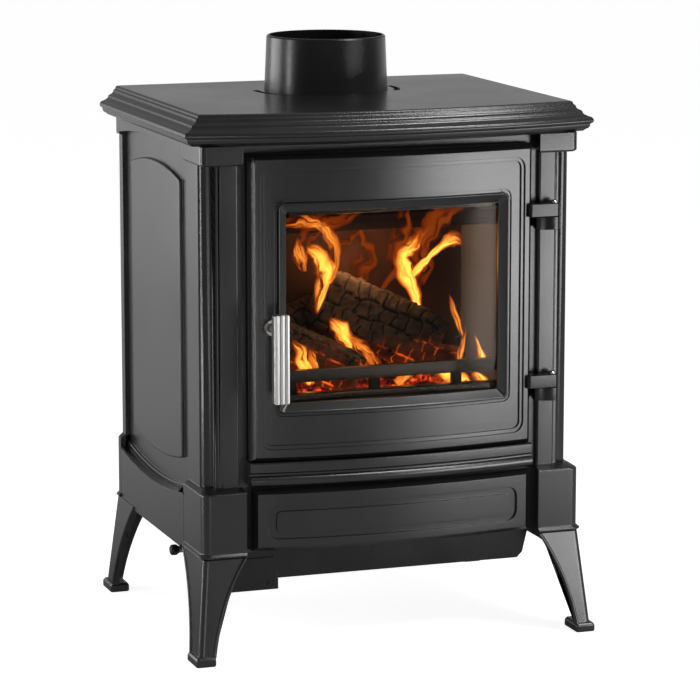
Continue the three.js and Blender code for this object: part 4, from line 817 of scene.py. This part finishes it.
def charred_log(name, start, end, radius, pitch, turn, material):
    """A split log: a ringed cylinder, flattened to a wedge, sunk along the cracks between its checks."""
    start, end = Vector(start), Vector(end)
    span = (end - start).length
    bm = ringed_cylinder(radius, span)
    layer = bm.verts.layers.float.new(CRACKS)
    seed = Vector((sum(start), turn * 31, span))
    for vert in bm.verts:
        x, y, z = vert.co
        angle = math.atan2(y, x)
        far = math.hypot(x, y) / radius
        # The checks lie in lanes along the log. Both values are 0 at a check's middle and 1 at a crack.
        wander = noise.noise(Vector((x, y, z)) / 26 + seed) * 7
        arc = angle * radius + wander
        lane = math.floor(arc / (pitch * LANE_WIDTH))
        lanes = abs(arc / (pitch * LANE_WIDTH) - lane - 0.5) * 2
        cell = (z + wander + noise.noise(Vector((lane * 3.7, 1, turn))) * pitch) / pitch
        cells = abs(cell - math.floor(cell) - 0.5) * 2
        crack = max(smooth_step(lanes, 0.86, 0.97), 0.85 * smooth_step(cells, 0.86, 0.97))
        crack *= smooth_step(far, 0.5, 0.9)
        wedge = 1 + 0.13 * math.cos(3 * (angle + turn)) - 0.10 * math.cos(2 * (angle - turn))
        rough = noise.fractal(Vector((x, y, z)) / 9 + seed, 1.0, 2.0, 4) * 1.4
        taper = 1 - 0.18 * smooth_step(abs(z) / span * 2, 0.72, 1.0)
        scale = wedge * taper + (rough - 1.9 * crack) / radius
        vert.co = Vector((x * scale, y * scale, z + noise.noise(Vector((x, y, 7)) / 8 + seed) * 4 * far))
        vert[layer] = crack
    turned = (end - start).to_track_quat("Z", "Y").to_matrix().to_4x4()
    place = Matrix.Translation(Vector((0, MID_Y, 0)) + (start + end) / 2 * MM) @ turned @ Matrix.Scale(MM, 4)
    bmesh.ops.transform(bm, matrix=place, verts=bm.verts[:])
    bmesh.ops.recalc_face_normals(bm, faces=bm.faces[:])
    add_piece(name, bm, material, "stove")


def ember_bed(settings, material):
    """A heap of ash with lumps of charcoal strewn over it."""
    chance = random.Random(settings.seed)
    bm = bmesh.new()
    bmesh.ops.create_grid(bm, x_segments=90, y_segments=40, size=1)
    for vert in bm.verts:
        u, v = vert.co.x, vert.co.y
        rim = (1 - smooth_step(abs(u), 0.86, 1.0)) * (1 - smooth_step(abs(v), 0.80, 1.0))
        x, y = u * BED_HALF.x, v * BED_HALF.y
        lumpy = noise.fractal(Vector((x, y, 0)) / (14 * MM), 1.0, 2.0, 4)
        vert.co = (x, BED_MIDDLE + y, BED_FOOT + rim * (BED_HEIGHT * BED_RISE + lumpy * 7 * MM))
    for _ in range(settings.lumps):
        size = chance.uniform(*CHARCOAL_SIZE) * MM
        u, v = chance.uniform(-0.93, 0.93), chance.uniform(-0.9, 0.88)
        rise = BED_HEIGHT * (BED_RISE + 0.35 * (1 - abs(v))) * chance.uniform(0.8, 1.15)
        middle = Vector((u * BED_HALF.x, BED_MIDDLE + v * BED_HALF.y, BED_FOOT + max(rise, size)))
        turn = Matrix.Rotation(chance.uniform(0, math.tau), 4, Vector((chance.random(), chance.random(), 1)))
        shape = Matrix.Diagonal((1.0, chance.uniform(0.6, 1.0), chance.uniform(0.5, 0.85), 1))
        place = Matrix.Translation(middle) @ turn @ shape
        before = len(bm.verts)
        bmesh.ops.create_icosphere(bm, subdivisions=2, radius=size, matrix=place)
        bm.verts.ensure_lookup_table()
        for vert in bm.verts[before:]:
            vert.co += (vert.co - middle) * noise.noise(vert.co / (7 * MM)) * 0.55
    add_piece("ember_bed", bm, material, "stove")


def fire_lamp(power):
    """The light that the fire throws on the lining and through the window."""
    lamp = bpy.data.lights.new("fire_light", "POINT")
    lamp.energy = power
    lamp.color = FIRE_TONE
    lamp.shadow_soft_size = FIRE_LIGHT_RADIUS
    light = new_object("fire_light", lamp)
    light.location = FIRE_LIGHT
    light.visible_camera = False


class STOVE_OT_fire(Operator):
    """Lay the ember bed and the charred logs, and light the flames"""

    bl_idname = "stove.fire"
    bl_label = "Fire"

    def execute(self, context):
        settings = scene_settings().fire
        wood = log_finish("charred_wood", settings.char, settings.glow)
        for name, start, end, radius, pitch, turn in LOGS:
            charred_log(name, start, end, radius, pitch, turn, wood)
        ember_bed(settings, ember_finish("glowing_charcoal", settings.glow))
        for name, ((bright, light, cover, gaps), spines) in FLAMES.items():
            tone = tuple(Vector(settings.tip).lerp(Vector(settings.flame), bright))
            material = flame_finish(name, tone, settings.tip, settings.brightness * light, cover, gaps)
            bm = bmesh.new()
            bm.loops.layers.uv.new("UVMap")
            for spine in spines:
                flame_sheet(bm, spine)
            add_piece(name, bm, material, "stove")
        fire_lamp(settings.warmth)
        return {"FINISHED"}


CAMERA_PLACE = (-1.31767, -3.75475, 1.04814)
CAMERA_YAW = 0.339090
CAMERA_PITCH = 0.179837
CAMERA_FOCUS = 3331.18 / 700  # focal length as a share of the picture's width
CAMERA_REACH = 100
SENSOR = 36

FLOOR_SIZE = 30
FLOOR_GLOW = 0.88  # how white the floor looks to the camera
FLOOR_MIRRORED = (0.04, 0.64)  # the share of that glow which the castings mirror, in front and far behind
FLOOR_DEPTH = (0.4, 3.2)  # the depths between which that share grows
DARK = 0.06  # the world's brightness where the castings mirror it dark
BEHIND = (-0.5, 0.3)  # the direction's Y, from the dark front to the bright back
ABOVE = (0.11, 0.29)  # and its Z, from the bright horizon to the dark above

# The setting with its power, its place, what it points at, and its width and height
LAMPS = (
    ("key", (-1.5, 1.35, 0.64), (0, 0, 0.5), (1.1, 0.95)),
    ("fill", (1.17, -1.45, 0.23), (0.1, -0.17, 0.42), (1.1, 0.5)),
    ("side", (-1.35, 0.1, 0.42), (0, 0, 0.4), (0.12, 0.85)),
    ("high", (1.1, -1.4, 1.75), (0, 0, 0.4), (0.5, 0.5)),
    ("front", (-0.54, -1.6, 0.12), (-0.2, -0.2, 0.3), (0.35, 0.35)),
    ("top", (0.75, -0.35, 2.2), (0.1, -0.2, 0.7), (0.5, 0.5)),
)


def area_lamp(name, place, aim, size, power):
    lamp = bpy.data.lights.new(name, "AREA")
    lamp.shape = "RECTANGLE"
    lamp.size, lamp.size_y = size
    lamp.energy = power
    obj = new_object(name, lamp)
    obj.location = place
    obj.rotation_euler = (Vector(aim) - Vector(place)).to_track_quat("-Z", "Y").to_euler()
    obj.visible_camera = False


def set_floor(studio):
    """A floor that is white to the camera and takes shadows. The castings mirror it darker in front."""
    finish = Finish("studio_floor")
    rays = finish.add("LightPath").outputs
    growing = finish.between(finish.axes(finish.place)["Y"], *FLOOR_MIRRORED, FLOOR_DEPTH)
    mirrored = finish.product(rays["Is Glossy Ray"], growing)
    seen = finish.calc("MAXIMUM", rays["Is Camera Ray"], mirrored)
    seen = finish.calc("MAXIMUM", seen, rays["Is Transmission Ray"])
    tone = finish.blend(rays["Is Glossy Ray"], studio.floor, tinted(studio.floor, 0.75))
    matt = finish.add("BsdfDiffuse", {"Color": tone}).outputs["BSDF"]
    glow = finish.add("Emission", {"Strength": finish.product(seen, FLOOR_GLOW)}).outputs["Emission"]
    lit = finish.add("AddShader", {0: matt, 1: glow}).outputs["Shader"]
    bm = bmesh.new()
    bmesh.ops.create_grid(bm, x_segments=1, y_segments=1, size=FLOOR_SIZE)
    floor = mesh_object("floor", bm, finish.done(lit))


def set_world(scene, studio):
    """A world that is white to the camera. The castings mirror it dark in front and above."""
    scene.world = bpy.data.worlds.new("studio")
    scene.world.use_nodes = True
    nodes = Nodes(scene.world.node_tree)
    rays = nodes.add("LightPath").outputs
    way = nodes.axes(nodes.add("TexCoord").outputs["Generated"])
    behind = nodes.between(way["Y"], DARK, studio.backdrop, BEHIND)
    low = nodes.between(way["Z"], 1.0, DARK, ABOVE)
    mirrored = nodes.product(rays["Is Glossy Ray"], behind, low)
    seen = nodes.calc("MAXIMUM", rays["Is Camera Ray"], mirrored)
    around = nodes.add("Background", {"Color": WHITE, "Strength": studio.ambient}).outputs["Background"]
    white = nodes.add("Background", {"Color": WHITE, "Strength": 1}).outputs["Background"]
    mix = nodes.add("MixShader", {0: seen, 1: around, 2: white}).outputs["Shader"]
    nodes.add("OutputWorld", {"Surface": mix})


def set_camera(scene):
    """The camera that was solved from the photo."""
    camera = bpy.data.cameras.new("camera")
    camera.sensor_width = SENSOR
    camera.lens = CAMERA_FOCUS * SENSOR
    camera.clip_end = CAMERA_REACH
    scene.camera = new_object("camera", camera)
    scene.camera.location = CAMERA_PLACE
    scene.camera.rotation_euler = (math.pi / 2 - CAMERA_PITCH, 0, -CAMERA_YAW)


class STOVE_OT_stage(Operator):
    """Set the floor, the lamps and the camera"""

    bl_idname = "stove.stage"
    bl_label = "Stage"

    def execute(self, context):
        studio = scene_settings().studio
        context.scene.view_settings.view_transform = "Standard"
        set_floor(studio)
        set_world(context.scene, studio)
        for name, place, aim, size in LAMPS:
            area_lamp(name, place, aim, size, getattr(studio, name))
        set_camera(context.scene)
        return {"FINISHED"}


# ---------------------------------------------------------------- add-on


class StoveSettings(PropertyGroup):
    iron: PointerProperty(type=IronSettings)
    steel: PointerProperty(type=SteelSettings)
    fire: PointerProperty(type=FireSettings)
    studio: PointerProperty(type=StudioSettings)


STEPS = (
    STOVE_OT_castings,
    STOVE_OT_sheet_steel,
    STOVE_OT_window,
    STOVE_OT_hinges,
    STOVE_OT_handle,
    STOVE_OT_lining,
    STOVE_OT_fire,
    STOVE_OT_stage,
)


class STOVE_PT_panel(Panel):
    """Lists the steps that build the stove"""

    bl_idname = "STOVE_PT_panel"
    bl_label = "Wood Stove"
    bl_space_type = "VIEW_3D"
    bl_region_type = "UI"
    bl_category = "Stove"

    def draw(self, context):
        for step in STEPS:
            self.layout.operator(step.bl_idname)


CLASSES = (
    IronSettings,
    SteelSettings,
    FireSettings,
    StudioSettings,
    StoveSettings,
    *STEPS,
    STOVE_PT_panel,
)


def register():
    for cls in CLASSES:
        bpy.utils.register_class(cls)
    bpy.types.Scene.stove = PointerProperty(type=StoveSettings)


def unregister():
    del bpy.types.Scene.stove
    for cls in reversed(CLASSES):
        bpy.utils.unregister_class(cls)


def main():
    register()
    for step in STEPS:
        group, call = step.bl_idname.split(".")
        getattr(getattr(bpy.ops, group), call)()


if __name__ == "__main__":
    main()
